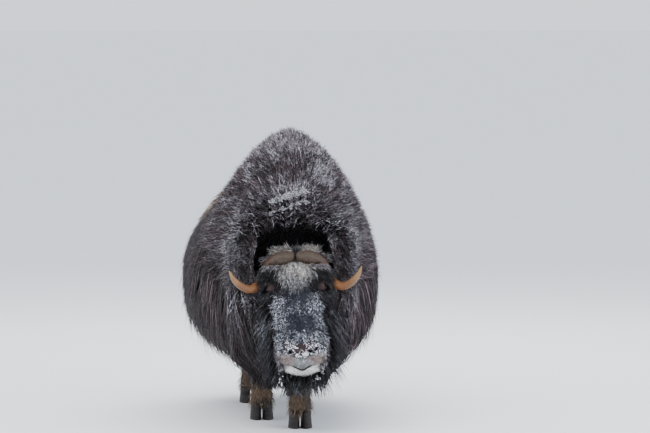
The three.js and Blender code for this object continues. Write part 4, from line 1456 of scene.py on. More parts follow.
@dataclass(frozen=True)
class Hollow:
    """The hollow of the mane that the head stands in."""

    x: float = -0.018
    wide: float = 0.770
    half: float = 0.172
    half_at_rim: float = 0.190
    top: float = 0.925
    top_at_rim: float = 0.945
    low: float = 0.645
    shape: float = 2.5
    back: float = -0.700
    flare: float = 0.16  # the length over which it widens to its rim

    def ring(self, y: float, grow: float, around: int = 64) -> Array:
        """The hollow's outline at one place.

        Args:
            y: The place along the body.
            grow: How far the outline is grown into the mane.
            around: Points in the outline.

        Returns:
            The points.
        """
        t = smooth(np.array((self.back - y) / self.flare))
        half = mix(self.half, self.half_at_rim, t) + grow
        up = mix(self.top, self.top_at_rim, t) - self.wide + grow
        angle = np.linspace(0, 2 * math.pi, around, endpoint=False)
        x, z = oval(angle, half, up, self.wide - self.low + grow, self.shape, self.shape)
        return np.stack([self.x + x, np.full(around, y), self.wide + z], -1)

    def holds(self, points: Array, inset: float) -> Array:
        """Finds the points that lie in the hollow, in front of its back wall.

        Args:
            points: Places in the world.
            inset: How much smaller than its rim the hollow is taken, in metres.

        Returns:
            Which of them lie in it.
        """
        x = np.abs(points[..., 0] - self.x) / (self.half_at_rim - inset)
        z = points[..., 2] - self.wide
        z = z / np.where(z > 0, self.top_at_rim - self.wide - inset, self.wide - self.low - inset)
        return (points[..., 1] < self.back - 0.02) & (x**self.shape + np.abs(z) ** self.shape < 1)

    def solid(self, grow: float) -> Object:
        """The hollow as a closed form, open to the front."""
        places = np.linspace(self.back + grow * 0.5, -1.0, 14)
        return loft("hollow", np.stack([self.ring(y, grow) for y in places]))


HOLLOW = Hollow()


@dataclass(frozen=True)
class Skin:
    """One skin over the whole animal, inside the core of its coat."""

    coat: float = -0.5
    hollow_grow: float = 0.022
    leg_shrink: float = 0.008
    voxel: float = 0.013
    tail_stops: tuple[Stop, ...] = (
        (0, 0.90, 0.900, 0.020, 0.016), (0, 0.955, 0.880, 0.020, 0.016),
        (0, 0.995, 0.830, 0.018, 0.014), (0, 1.010, 0.770, 0.012, 0.010),
    )

    def trunk(self) -> Object:
        """Makes the trunk and the mane's core, hollowed for the head.

        Returns:
            One closed form.
        """
        at = np.linspace(ENVELOPE.front, ENVELOPE.rear, 90)
        share = np.linspace(-1, 1, 96, endpoint=False)
        rings = ENVELOPE.point(at[:, None], share[None, :], self.coat)
        return combine(loft("trunk", rings), HOLLOW.solid(self.hollow_grow), "DIFFERENCE")

    def tail(self) -> Object:
        """The short tail."""
        return tube("tail", np.array(self.tail_stops), (1, 0, 0), 16, 16)

    def build(self) -> Object:
        """Makes the skin.

        Returns:
            The object, with its markings.
        """
        legs = [tube("leg", leg.rows(self.leg_shrink), (0, 1, 0), 28, 34) for leg in LEGS.values()]
        body = fused(joined("skin", [self.trunk(), self.tail(), *legs]), self.voxel, 4)
        head = HeadForm().build()
        head.data.vertices.foreach_set("co", HEAD.to_world(coordinates(head)).astype(np.float32).ravel())
        head.data.update()
        skin = combine(body, head, "UNION")
        self.mark(skin)
        return skin

    @staticmethod
    def mark(skin: Object) -> None:
        """Writes the markings, the frost and the bare places on the skin's points.

        Args:
            skin: The skin.
        """
        points = coordinates(skin)
        local = HEAD.to_head(points)
        head = is_head(points)
        leg = (points[:, 2] < 0.44) & ~head
        colour = np.where(leg[:, None], MARKINGS.leg(points) * 0.6, MARKINGS.coat(points) * 0.4)
        colour = np.where(head[:, None], MARKINGS.head(local), colour)
        # The skin in the mane's hollow is near-black: partly the dark hair there, partly painted shade.
        inside = (points[:, 1] < -0.62) & (points[:, 2] > 0.55) & ~head
        colour[inside] = MARKINGS.cavity
        outward = np.empty((len(points), 3))
        skin.data.vertex_normals.foreach_get("vector", outward.ravel())
        pad = MARKINGS.pad(local)
        rime = MARKINGS.frost_head(local) * mix(0.28, 0.38, pad) + 0.8 * MARKINGS.drip(local)
        frost = np.where(head, rime, 0.35 * MARKINGS.frost_coat(points, outward) * ~inside)
        opaque = np.ones((len(points), 1))
        write_attribute(skin, "marking", "FLOAT_COLOR", np.concatenate([colour, opaque], 1))
        write_attribute(skin, "frost", "FLOAT", frost)
        write_attribute(skin, "bare", "FLOAT", np.where(head, pad, 0.0))


def is_head(points: Array) -> Array:
    """Finds the places that belong to the head or the ears rather than to the neck and mane.

    Args:
        points: Places in the world.

    Returns:
        Which of them do.
    """
    local = HEAD.to_head(points)
    form = HeadForm()
    side, deep, down = np.abs(local[..., 0]), local[..., 1], -local[..., 2]
    near = (deep < 0.17) & (down > -0.06) & (down < 0.56) & (side < 0.24)
    half = form.line("half")(np.clip(down, form.rows[0].at, form.rows[-1].at))
    ear = (np.abs(deep - 0.122) < 0.03) & (np.abs(down - 0.056) < 0.05)
    return near & ((side < half + 0.03) | ear)


def dress(obj: Object, finish: Material, slot: str, *replaced: str) -> None:
    """Gives a piece its finish, and puts it in the place of nodes of the part.

    Args:
        obj: The piece.
        finish: Its material.
        slot: Not used.
        *replaced: The nodes.
    """
    obj.data.polygons.foreach_set("use_smooth", np.ones(len(obj.data.polygons), bool))
    obj.data.materials.clear()
    obj.data.materials.append(finish)
    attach(obj, BODY)
    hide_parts(*replaced)
    log.info("%s: %d faces", obj.name, len(obj.data.polygons))


def write_attribute(obj: Object, name: str, kind: str, values: Array) -> None:
    """Stores one value for each point of a mesh.

    Args:
        obj: The mesh object.
        name: Name of the attribute.
        kind: Its type.
        values: The values, in the points' order.
    """
    key = {"FLOAT": "value", "FLOAT_VECTOR": "vector", "FLOAT_COLOR": "color"}[kind]
    attribute = obj.data.attributes.new(name, kind, "POINT")
    attribute.data.foreach_set(key, np.asarray(values, np.float32).ravel())


# Tufts


@dataclass
class Guides:
    """The lines that the tufts of one piece follow, from root to tip."""

    points: Array
    outward: Array
    half: Array
    marking: Array
    frost: Array
    tone: Array
    root_uv: Array

    def part(self, chosen: Array) -> Guides:
        """Some of the tufts."""
        return Guides(*(getattr(self, k)[chosen] for k in self.__dataclass_fields__))


class Profile(Enum):
    """The section of a tuft: a flat lock or a rounder one."""

    FLAT = 0.35
    ROUND = 0.75


PROFILE_SIDES = 3


def tuft_tree() -> bpy.types.NodeTree:
    """Builds the node tree that turns guides into solid tapered tufts, each with a patch on the bake map.

    Returns:
        The node tree.
    """
    tree = bpy.data.node_groups.new("tufts", "GeometryNodeTree")
    kinds = {"Geometry": "Geometry", "Thickness": "Float", "Bake Patch": "Float", "Material": "Material"}
    for name, kind in kinds.items():
        tree.interface.new_socket(name, in_out="INPUT", socket_type="NodeSocket" + kind)
    tree.interface.new_socket("Geometry", in_out="OUTPUT", socket_type="NodeSocketGeometry")
    given = tree.nodes.new("NodeGroupInput").outputs

    def add(kind: str, inputs: dict[str | int, object], **settings: str) -> Socket:
        """Adds a node.

        Args:
            kind: Its type.
            inputs: Sockets or values for its inputs.
            **settings: Its own settings.

        Returns:
            Its first output.
        """
        node = tree.nodes.new(kind)
        for key, value in settings.items():
            setattr(node, key, value)
        for key, value in inputs.items():
            if isinstance(value, Socket):
                tree.links.new(value, node.inputs[key])
            else:
                node.inputs[key].default_value = value
        return node.outputs[0]

    def named(name: str, kind: str = "FLOAT") -> Socket:
        """One of the guide lines' attributes."""
        return add("GeometryNodeInputNamedAttribute", {"Name": name}, data_type=kind)

    def stored(geometry: Socket, name: str, value: Socket, data_type: str, domain: str) -> Socket:
        """Stores an attribute on a geometry."""
        inputs = {"Geometry": geometry, "Name": name, "Value": value}
        return add("GeometryNodeStoreNamedAttribute", inputs, data_type=data_type, domain=domain)

    curve = add("GeometryNodeMeshToCurve", {"Mesh": given["Geometry"]})
    outward = named("outward", "FLOAT_VECTOR")
    curve = add("GeometryNodeSetCurveNormal", {"Curve": curve, "Normal": outward}, mode="FREE")
    profile = add("GeometryNodeCurvePrimitiveCircle", {"Resolution": PROFILE_SIDES, "Radius": 1.0})
    squashed = add("ShaderNodeCombineXYZ", {0: given["Thickness"], 1: 1.0, 2: 1.0})
    profile = add("GeometryNodeTransform", {"Geometry": profile, "Scale": squashed})
    profile = stored(profile, "across", add("GeometryNodeSplineParameter", {}), "FLOAT", "POINT")
    sweep = {"Curve": curve, "Profile Curve": profile, "Scale": named("half"), "Fill Caps": True}
    tuft = add("GeometryNodeCurveToMesh", sweep)
    patch = add("ShaderNodeCombineXYZ", {0: named("across"), 1: named("along")})
    patch = add("ShaderNodeVectorMath", {0: patch, "Scale": given["Bake Patch"]}, operation="SCALE")
    place = add("ShaderNodeVectorMath", {0: named("root_uv", "FLOAT_VECTOR"), 1: patch})
    tuft = stored(tuft, "OFBake", place, "FLOAT2", "CORNER")
    tuft = add("GeometryNodeSetShadeSmooth", {"Geometry": tuft})
    tuft = add("GeometryNodeRealizeInstances", {"Geometry": tuft})
    tuft = add("GeometryNodeSetMaterial", {"Geometry": tuft, "Material": given["Material"]})
    tree.links.new(tuft, tree.nodes.new("NodeGroupOutput").inputs["Geometry"])
    return tree


@dataclass
class TuftMaker:
    """Turns guide lines into pieces of the coat, each under the limit of faces."""

    bake_patch: float = 0.003
    tree: bpy.types.NodeTree = field(default_factory=tuft_tree)

    def grow(
        self, name: str, guides: Guides, material: Material, slot: str, profile: Profile = Profile.FLAT
    ) -> None:
        """Makes the pieces of one kind of hair.

        Args:
            name: Name of the pieces, which are numbered.
            guides: The lines to follow.
            material: The finish.
            slot: Not used.
            profile: The section of each tuft.
        """
        count, steps = guides.points.shape[:2]
        faces = 2 * PROFILE_SIDES * (steps - 1) + 2
        pieces = max(1, math.ceil(count * faces / MAX_PIECE_FACES))
        order = np.arange(count) % pieces
        for i in range(pieces):
            piece = self.piece(f"{name}_{i + 1}", guides.part(order == i), profile, material)
            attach(piece, BODY)
        log.info("%s: %d tufts, %d triangles, %d pieces", name, count, count * faces, pieces)

    def piece(self, name: str, guides: Guides, profile: Profile, material: Material) -> Object:
        """Makes one mesh of tufts.

        Args:
            name: Name of the piece.
            guides: The lines to follow.
            profile: The section of each tuft.
            material: The finish.

        Returns:
            The object.
        """
        count, steps = guides.points.shape[:2]

        def spread(values: Array) -> Array:
            """A value of each tuft, given to all its points."""
            return np.repeat(values, steps, axis=0).reshape(count * steps, -1)

        index = np.arange(count * steps).reshape(count, steps)
        edges = np.stack([index[:, :-1].ravel(), index[:, 1:].ravel()], 1)
        mesh = bpy.data.meshes.new(name)
        mesh.vertices.add(count * steps)
        mesh.vertices.foreach_set("co", guides.points.astype(np.float32).ravel())
        mesh.edges.add(len(edges))
        mesh.edges.foreach_set("vertices", edges.astype(np.int32).ravel())
        mesh.update()
        obj = in_scene(name, mesh)
        write_attribute(obj, "outward", "FLOAT_VECTOR", guides.outward)
        write_attribute(obj, "half", "FLOAT", guides.half)
        write_attribute(obj, "along", "FLOAT", np.tile(np.linspace(0, 1, steps), count))
        write_attribute(obj, "tone", "FLOAT", spread(guides.tone))
        write_attribute(obj, "frost", "FLOAT", spread(guides.frost))
        colour = np.concatenate([spread(guides.marking), np.ones((count * steps, 1))], 1)
        write_attribute(obj, "marking", "FLOAT_COLOR", colour)
        uv = np.concatenate([spread(guides.root_uv), np.zeros((count * steps, 1))], 1)
        write_attribute(obj, "root_uv", "FLOAT_VECTOR", uv)
        modifier = obj.modifiers.new("tufts", "NODES")
        modifier.node_group = self.tree
        values = {"Thickness": profile.value, "Bake Patch": self.bake_patch, "Material": material}
        for socket in self.tree.interface.items_tree:
            if socket.in_out == "INPUT" and socket.name in values:
                modifier[socket.identifier] = values[socket.name]
        apply_modifiers(obj)
        for spent in ("outward", "half", "root_uv"):
            attribute = obj.data.attributes.get(spent)
            if attribute:
                obj.data.attributes.remove(attribute)
        return obj


@dataclass(frozen=True)
class HairLook:
    """The style of one kind of hair. Lengths are in metres. Coat shares say how deep roots and tips lie."""

    count: int
    length: float
    half: float
    steps: int
    rise: float = 0.5
    root: float = -0.55
    tip: float = 1.0
    tip_vary: float = 0.15
    stray: float = 0.3
    curl: float = 0.006
    clump: float = 0.5
    clump_size: float = 0.05
    blunt: float = 1.6
    pale: float = 0.0
    seed: int = 1


HAIR_LOWEST = 0.19
HOLLOW_INSET = 0.008


def taper(steps: int, blunt: float) -> Array:
    """The width of a tuft from its root to its tip: full in the middle, with a fine tip."""
    t = np.linspace(0, 1, steps)
    return np.clip((0.55 + 1.6 * t) * (1 - t**blunt), 0.03, 1.0)


def shades(look: HairLook, count: int, rng: Rng) -> Array:
    """How pale or dark each tuft is against the markings: most vary a little, and some are bleached."""
    pale = rng.random(count) < look.pale
    return np.where(pale, rng.uniform(2.5, 5.5, count), rng.uniform(0.45, 1.15, count))[:, None]


def widths(look: HairLook, count: int, rng: Rng) -> Array:
    """The half width of every tuft at each of its points."""
    return look.half * rng.uniform(0.65, 1.3, (count, 1)) * taper(look.steps, look.blunt)[None]


def curled(points: Array, outward: Array, amount: float, rng: Rng) -> Array:
    """Guide lines with a curl of their own, which grows towards the tip.

    Args:
        points: The guide lines.
        outward: The way out of the coat at each of their points.
        amount: How far the curl swings, in metres.
        rng: Draws the phase and the turns of each curl.

    Returns:
        The curled guide lines.
    """
    count, steps = points.shape[:2]
    t = np.linspace(0, 1, steps)[None, :]
    across = unit(np.cross(outward, unit(np.gradient(points, axis=1))))
    phase = rng.uniform(0, 2 * math.pi, (count, 1)) + 2 * math.pi * rng.uniform(0.5, 1.15, (count, 1)) * t
    swing = amount * rng.uniform(0.5, 1.3, (count, 1)) * t**0.8
    points = points + across * (swing * np.sin(phase))[..., None]
    return points + outward * (0.5 * swing * np.cos(phase))[..., None]


def tucked(points: Array) -> Array:
    """Draws the low ends of guide lines in front in under the chest.

    Args:
        points: The guide lines.

    Returns:
        The drawn lines.
    """
    middle, low, most = -0.030, 0.335, 0.36
    pull = most * ramp(low - points[..., 2], 0.0, 0.09) * ramp(-points[..., 1], 0.15, 0.50)
    drawn = points.copy()
    drawn[..., 0] = mix(points[..., 0], middle, pull)
    return drawn


@dataclass(frozen=True)
class Crumbs:
    """Small lumps of snow or ice that cling to the hair."""

    wander: float
    length: Pair
    half: Pair
    shape: tuple[float, float, float, float]
    white: float

    def guides(
        self, root: Array, way: Array, outward: Array, uv: Array, rng: Rng
    ) -> Guides:
        """Makes the lines of the crumbs.

        Args:
            root: Where they start.
            way: The way most of them point.
            outward: The way out of the coat.
            uv: Their places on the bake map.
            rng: Draws their directions and sizes.

        Returns:
            The lines, with their widths and colours.
        """
        n, steps = len(root), len(self.shape)
        way = unit(rng.normal(0, self.wander, (n, 3)) + way) * rng.uniform(*self.length, (n, 1))
        points = root[:, None] + way[:, None] * np.linspace(0, 1, steps)[None, :, None]
        half = rng.uniform(*self.half, (n, 1)) * np.array([self.shape])
        outward = np.broadcast_to(outward, points.shape)
        return Guides(points, outward, half, np.full((n, 3), self.white), np.ones(n), rng.random(n), uv)


def gather(at: Array, share: Array, size: float) -> tuple[Array, Array]:
    """The middle of the lock that each root belongs to.

    Args:
        at: Places of the roots along the body.
        share: Their shares of the girth.
        size: Width of a lock, in metres.

    Returns:
        The places along the body and the shares of the locks' middles.
    """
    girth = ENVELOPE.girth(at)
    u, v = at / size, share * girth / (size * 1.6)
    row = np.floor(v)
    column = np.floor(u + 0.5 * (row % 2))
    key = (column * 7919 + row * 104729).astype(np.int64)
    jitter = ((key * 2654435761) & 0xFFFFFF) / 0xFFFFFF
    other = ((key * 40503 + 977) & 0xFFFF) / 0xFFFF
    middle_at = (column + 0.5 - 0.5 * (row % 2) + 0.5 * (jitter - 0.5)) * size
    middle_share = (row + 0.5 + 0.5 * (other - 0.5)) * size * 1.6 / girth
    return middle_at, middle_share


class Coat:
    """The long hair of the body: guard hair like a robe, wool on the hump and neck, and the skirt below."""

    fall = np.array([0.0, 0.12, -0.95])  # the way hair goes on where it runs past the rump

    def __init__(self, maker: TuftMaker) -> None:
        """Keeps the maker of tufts."""
        self.maker = maker

    @staticmethod
    def wooliness(at: Array, share: Array) -> Array:
        """How woolly the coat is at a root: 1 on the hump and the neck, 0 on the flanks and the skirt."""
        return ramp(-at, -0.02, 0.26) * (1 - ramp(np.abs(share), 0.38, 0.56))

    @staticmethod
    def lie(at: Array, share: Array, wool: Array) -> Array:
        """The turn of the hair from straight down towards the rear.

        Args:
            at: Places of the roots along the body.
            share: Their shares of the girth.
            wool: How woolly the coat is there.

        Returns:
            The turns, in radians.
        """
        guard = mix(1.1, 0.16, ramp(np.abs(share), 0.0, 0.3)) * (1 - 0.9 * ramp(at, 0.62, 0.87))
        curly = mix(-0.45, 0.1, ramp(at, -0.75, -0.25)) + 0.35 * np.sin(at * 21 + np.abs(share) * 23)
        return mix(guard, curly, wool)

    def guides(self, at: Array, share: Array, look: HairLook, rng: Rng) -> Guides:
        """Lays tufts along the body from the given roots.

        Args:
            at: Places of the roots along the body.
            share: Their shares of the girth.
            look: The style of the hair.
            rng: Draws what differs from tuft to tuft.

        Returns:
            The lines, apart from those that would cross the hollow.
        """
        n, steps = len(at), look.steps
        wool = self.wooliness(at, share)
        root_at, root_share = at, share
        side = np.where(share < 0, -1.0, 1.0)
        place = ENVELOPE.point(at, share, 1.0)
        coarse = lattice_noise(place, 0.11, 31)
        crown = 1 - ramp(np.abs(share), 0.02, 0.12)
        length = look.length * rng.uniform(0.75, 1.15, n) * mix(0.85, 1.15, coarse)
        turn = self.lie(at, share, wool) + look.stray * (rng.random(n) - 0.5) + 0.5 * (coarse - 0.5)
        back = math.pi / 2 + 1.3 * (rng.random(n) - 0.5)
        turn = mix(turn, mix(back, rng.uniform(-math.pi, math.pi, n), wool), crown)
        tip = look.tip - look.tip_vary * rng.random(n) ** 1.5
        middle_at, middle_share = gather(at, share, look.clump_size)
        most = 0.05
        last = ENVELOPE.rear - 0.004
        pull_at = np.clip(middle_at - at, -most, most) * look.clump
        pull_share = np.clip(middle_share - share, -most, most) * look.clump * (1 - crown)
        points = np.empty((n, steps, 3))
        outward = np.empty((n, steps, 3))
        for i in range(steps):
            t = i / (steps - 1)
            a = np.clip(at + pull_at * t, ENVELOPE.front + 0.001, last)
            s = np.clip(share + pull_share * t, -0.99, 0.99)
            coat = mix(look.root, tip, t**look.rise)
            over = np.maximum(at + pull_at * t - last, 0.0)
            points[:, i] = ENVELOPE.point(a, s, coat) + over[:, None] * self.fall
            outward[:, i] = ENVELOPE.outward(a, s, coat)
            step = length / (steps - 1)
            at = at + step * np.sin(turn)
            girth = ENVELOPE.girth(np.clip(at, ENVELOPE.front, ENVELOPE.rear))
            share = share + side * step * np.cos(turn) / girth
        points = curled(points, outward, look.curl, rng)
        points[..., 2] = np.maximum(points[..., 2], HAIR_LOWEST)
        points = tucked(points)
        uv = ENVELOPE.root_uv(root_at, root_share)
        surface = ENVELOPE.point(root_at, root_share, 0.8)
        colour = MARKINGS.coat(surface) * shades(look, n, rng)
        frost = MARKINGS.frost_coat(points[:, -1], outward[:, -1]) * rng.uniform(0.4, 1.5, n)
        made = Guides(points, outward, widths(look, n, rng), colour, np.clip(frost, 0, 1), rng.random(n), uv)
        return made.part(~HOLLOW.holds(points, HOLLOW_INSET).any(1))

    def roots(
        self, look: HairLook, woolly: bool, shares: Pair, rng: Rng
    ) -> tuple[Array, Array]:
        """Draws roots, spread evenly over the parts of the body where this kind of hair grows.

        Args:
            look: The style of the hair.
            woolly: Whether it grows where the coat is woolly.
            shares: Least and greatest share of the girth.
            rng: Draws the roots.

        Returns:
            Their places along the body and their shares of the girth.
        """
        tries = look.count * 8
        at = rng.uniform(ENVELOPE.front + 0.002, ENVELOPE.rear - 0.003, tries)
        share = rng.uniform(*shares, tries) * rng.choice([-1.0, 1.0], tries)
        along = ENVELOPE.point(at + 0.003, share, 1.0) - ENVELOPE.point(at - 0.003, share, 1.0)
        down = ENVELOPE.point(at, share + 0.004, 1.0) - ENVELOPE.point(at, share - 0.004, 1.0)
        area = np.linalg.norm(np.cross(along, down), axis=-1)
        wool = self.wooliness(at, share)
        keep = rng.random(tries) < (wool if woolly else 1 - wool) * area / np.percentile(area, 97)
        keep &= ~HOLLOW.holds(ENVELOPE.point(at, share, -0.3), -0.012)
        return at[keep][: look.count], share[keep][: look.count]

    def build(self, wool_finish: Material, guard_finish: Material) -> None:
        """Grows the whole coat of the body.

        Args:
            wool_finish: The wool's material.
            guard_finish: The guard hair's material.
        """
        wool = HairLook(count=22000, length=0.050, half=0.0028, steps=4, rise=0.72, tip=1.04, tip_vary=0.28,
                        stray=3.8, curl=0.016, clump_size=0.030, blunt=2.0, pale=0.10, seed=11)
        halo = HairLook(count=2600, length=0.060, half=0.0022, steps=4, rise=0.7, tip=1.30, tip_vary=0.3,
                        stray=2.6, curl=0.010, clump=0.0, pale=1.0, seed=14)
        guard = HairLook(count=5600, length=0.33, half=0.0064, steps=5, tip_vary=0.22, stray=0.4,
                         curl=0.009, clump=0.6, clump_size=0.060, blunt=1.5, pale=0.26, seed=12)
        skirt = HairLook(count=6200, length=0.36, half=0.0062, steps=5, rise=0.6, tip_vary=0.4, stray=0.4,
                         curl=0.010, clump=0.7, clump_size=0.055, blunt=1.5, pale=0.26, seed=13)
        wisps = HairLook(count=1300, length=0.30, half=0.0030, steps=5, rise=0.8, tip=1.30, tip_vary=0.45,
                         stray=1.0, curl=0.018, clump=0.0, pale=0.5, seed=15)
        for name, look, woolly, shares, finish, slot in (
            ("wool", wool, True, (0.0, 0.58), wool_finish, "mane"),
            ("halo", halo, True, (0.0, 0.50), wool_finish, "mane"),
            ("guard_hair", guard, False, (0.0, 0.46), guard_finish, "coat"),
            ("skirt_hair", skirt, False, (0.40, 0.78), guard_finish, "coat"),
            ("wisps", wisps, False, (0.05, 0.74), guard_finish, "coat"),
        ):
            rng = np.random.default_rng(look.seed)
            guides = self.guides(*self.roots(look, woolly, shares, rng), look, rng)
            self.maker.grow(name, guides, finish, slot)
        self.snow(wool_finish)

    def snow(self, finish: Material) -> None:
        """Strews crumbs of snow in the wool of the hood's front.

        Args:
            finish: Their material.
        """
        rng = np.random.default_rng(16)
        tries, most = 60000, 1300
        at = rng.uniform(ENVELOPE.front + 0.002, -0.45, tries)
        share = rng.uniform(-0.40, 0.40, tries)
        place = ENVELOPE.point(at, share, 1.0)
        likely = MARKINGS.drift(place) * ramp(lattice_noise(place, 0.02, 24), 0.30, 0.5)
        chosen = np.flatnonzero(rng.random(tries) < 0.9 * likely)[:most]
        at, share = at[chosen], share[chosen]
        root = ENVELOPE.point(at, share, rng.uniform(0.8, 1.0, len(at)))
        out = ENVELOPE.outward(at, share, 1.0)
        crumbs = Crumbs(0.6, (0.008, 0.020), (0.0018, 0.0038), (0.6, 1.0, 0.8, 0.2), 0.7)
        way = out * 0.5 + np.array([0.6, 0, -0.2])
        guides = crumbs.guides(root, way, out[:, None], ENVELOPE.root_uv(at, share), rng)
        self.maker.grow("hood_snow", guides, finish, "mane", Profile.ROUND)


class Ends:
    """The hair that hangs on the mane's front, under the throat and on the end of the rump."""

    def __init__(self, maker: TuftMaker) -> None:
        """Keeps the maker of tufts."""
        self.maker = maker

    @staticmethod
    def hanging(
        at: float, x: Array, z: Array, length: Array, spread: Array, look: HairLook,
        rng: Rng,
    ) -> Guides:
        """Hangs tufts on one end of the body.

        Args:
            at: The end's place along the body.
            x: Places of the roots across it.
            z: Their heights.
            length: How far each tuft hangs down.
            spread: How far its tip lies aside of its root.
            look: The style of the hair.
            rng: Draws what differs from tuft to tuft.

        Returns:
            The lines, apart from those that would cross the hollow.
        """
        n, steps = len(x), look.steps
        points = np.empty((n, steps, 3))
        outward = np.empty((n, steps, 3))
        tip = look.tip - look.tip_vary * rng.random(n)
        for i in range(steps):
            t = i / (steps - 1)
            coat = mix(look.root, tip, t**look.rise)
            points[:, i] = ENVELOPE.end_point(at, x + spread * t, z - length * t, coat)
            outward[:, i] = unit(np.stack([x * 1.1, np.full(n, math.copysign(1.0, at)), np.full(n, 0.1)], -1))
        points = tucked(curled(points, outward, look.curl, rng))
        points[..., 2] = np.maximum(points[..., 2], HAIR_LOWEST)
        dark = (1 - ramp(np.abs(x), 0.10, 0.17)) * (z < 0.62) * (at < 0)
        colour = mix(MARKINGS.coat(points[:, steps // 2]), np.array(MARKINGS.beard), dark[:, None])
        colour = colour * shades(look, n, rng)
        frost = MARKINGS.frost_coat(points[:, -1], outward[:, -1]) * rng.uniform(0.4, 1.4, n)
        frost = frost * (1 - 0.8 * dark)
        uv = np.clip(np.stack([0.5 + x, (z - 0.2) / 1.2], -1), 0.01, 0.99)
        made = Guides(points, outward, widths(look, n, rng), colour, np.clip(frost, 0, 1), rng.random(n), uv)
        return made.part(~HOLLOW.holds(points, HOLLOW_INSET).any(1))

    def build(self, wool_finish: Material, guard_finish: Material) -> None:
        """Grows the sides of the mane's front, the cheeks, the throat and the rump's end.

        Args:
            wool_finish: The wool's material.
            guard_finish: The guard hair's material.
        """
        front, rear = ENVELOPE.front, ENVELOPE.rear
        rng = np.random.default_rng(41)
        n, style = 2100, {"steps": 5, "root": -0.4}
        x = rng.uniform(0.170, 0.240, n) * rng.choice(MIRROR, n)
        z = rng.uniform(0.56, 0.96, n)
        look = HairLook(n, 0.09, 0.0044, tip_vary=0.3, curl=0.014, blunt=2.0, pale=0.2, **style)
        way = 0.05 * (rng.random(n) - 0.5)
        guides = self.hanging(front, x, z, rng.uniform(0.03, 0.11, n), way, look, rng)
        self.maker.grow("mane_curls", guides, wool_finish, "mane")
        n = 2000
        x = rng.uniform(0.09, 0.245, n) * rng.choice(MIRROR, n)
        z = rng.uniform(0.36, 0.72, n)
        look = HairLook(n, 0.2, 0.0054, tip_vary=0.35, curl=0.016, pale=0.26, **style)
        way = 0.05 * np.sign(x) * rng.random(n)
        guides = self.hanging(front, x, z, rng.uniform(0.10, 0.26, n), way, look, rng)
        self.maker.grow("cheek_hair", guides, guard_finish, "mane")
        n = 1100
        x = rng.uniform(-0.20, 0.20, n)
        z = rng.uniform(0.34, 0.52, n)
        look = HairLook(n, 0.2, 0.0052, tip_vary=0.5, curl=0.016, pale=0.16, **style)
        length = rng.uniform(0.12, 0.25, n) * (1 - 1.2 * np.abs(x))
        guides = self.hanging(front, x, z, length, -x * 0.12, look, rng)
        self.maker.grow("throat_hair", guides, guard_finish, "mane")
        n = 2000
        x = rng.uniform(-0.26, 0.26, n)
        z = np.minimum(rng.uniform(0.46, 1.0, n) + 0.8 * np.maximum(np.abs(x) - 0.08, 0), 1.0)
        length = np.minimum(rng.uniform(0.20, 0.36, n), z - rng.uniform(0.22, 0.31, n))
        look = HairLook(n, 0.3, 0.0066, tip=1.12, tip_vary=0.4, curl=0.010, pale=0.22, **style)
        guides = self.hanging(rear, x, z, length, 0.03 * (rng.random(n) - 0.5), look, rng)
        self.maker.grow("rump_hair", guides, guard_finish, "coat")


class Place(Enum):
    """Where a patch of hair grows on the skin."""

    FACE = "face"
    JAW = "jaw"
    CHIN = "chin"
    LEGS = "legs"
    LINING = "lining"
    MUZZLE = "muzzle"


@dataclass(frozen=True)
class HairBox:
    """A patch of free hair from a box of roots in the head's frame, given for the left side and mirrored.

    low and high are the box's corners. way is how the hair leaves its roots and bend how it bends, as a share
    of its length. length is that of the shortest and of the longest tuft.
    """

    count: int
    low: Triple
    high: Triple
    way: Triple
    bend: Triple
    length: Pair
    half: float
    colour: Triple
    frost: float
    seed: int


BOXES = {
    "crown_fluff": HairBox(
        1500, (0.0, 0.080, 0.000), (0.104, 0.128, 0.022), (0.12, -0.6, 0.85), (0.05, -0.4, -0.3),
        (0.036, 0.062), 0.0021, tuple(1.4 * c for c in MARKINGS.fluff), 0.45, 61,
    ),
    "boss_fringe": HairBox(
        420, (0.085, 0.04, -0.030), (0.136, 0.10, 0.000), (0.6, -0.5, 0.5), (0.15, -0.3, -0.6),
        (0.030, 0.052), 0.0026, MARKINGS.brow, 0.3, 62,
    ),
    "brows": HairBox(
        260, (0.070, -0.040, -0.070), (0.134, -0.018, -0.050), (0.75, -0.5, 0.25), (0.15, 0.1, -0.8),
        (0.020, 0.036), 0.0022, MARKINGS.brow, 0.25, 63,
    ),
    "temples": HairBox(
        1300, (0.088, -0.026, -0.185), (0.146, 0.016, -0.052), (0.8, -0.45, -0.2), (0.15, 0.1, -0.8),
        (0.026, 0.050), 0.0030, MARKINGS.socket, 0.05, 64,
    ),
}


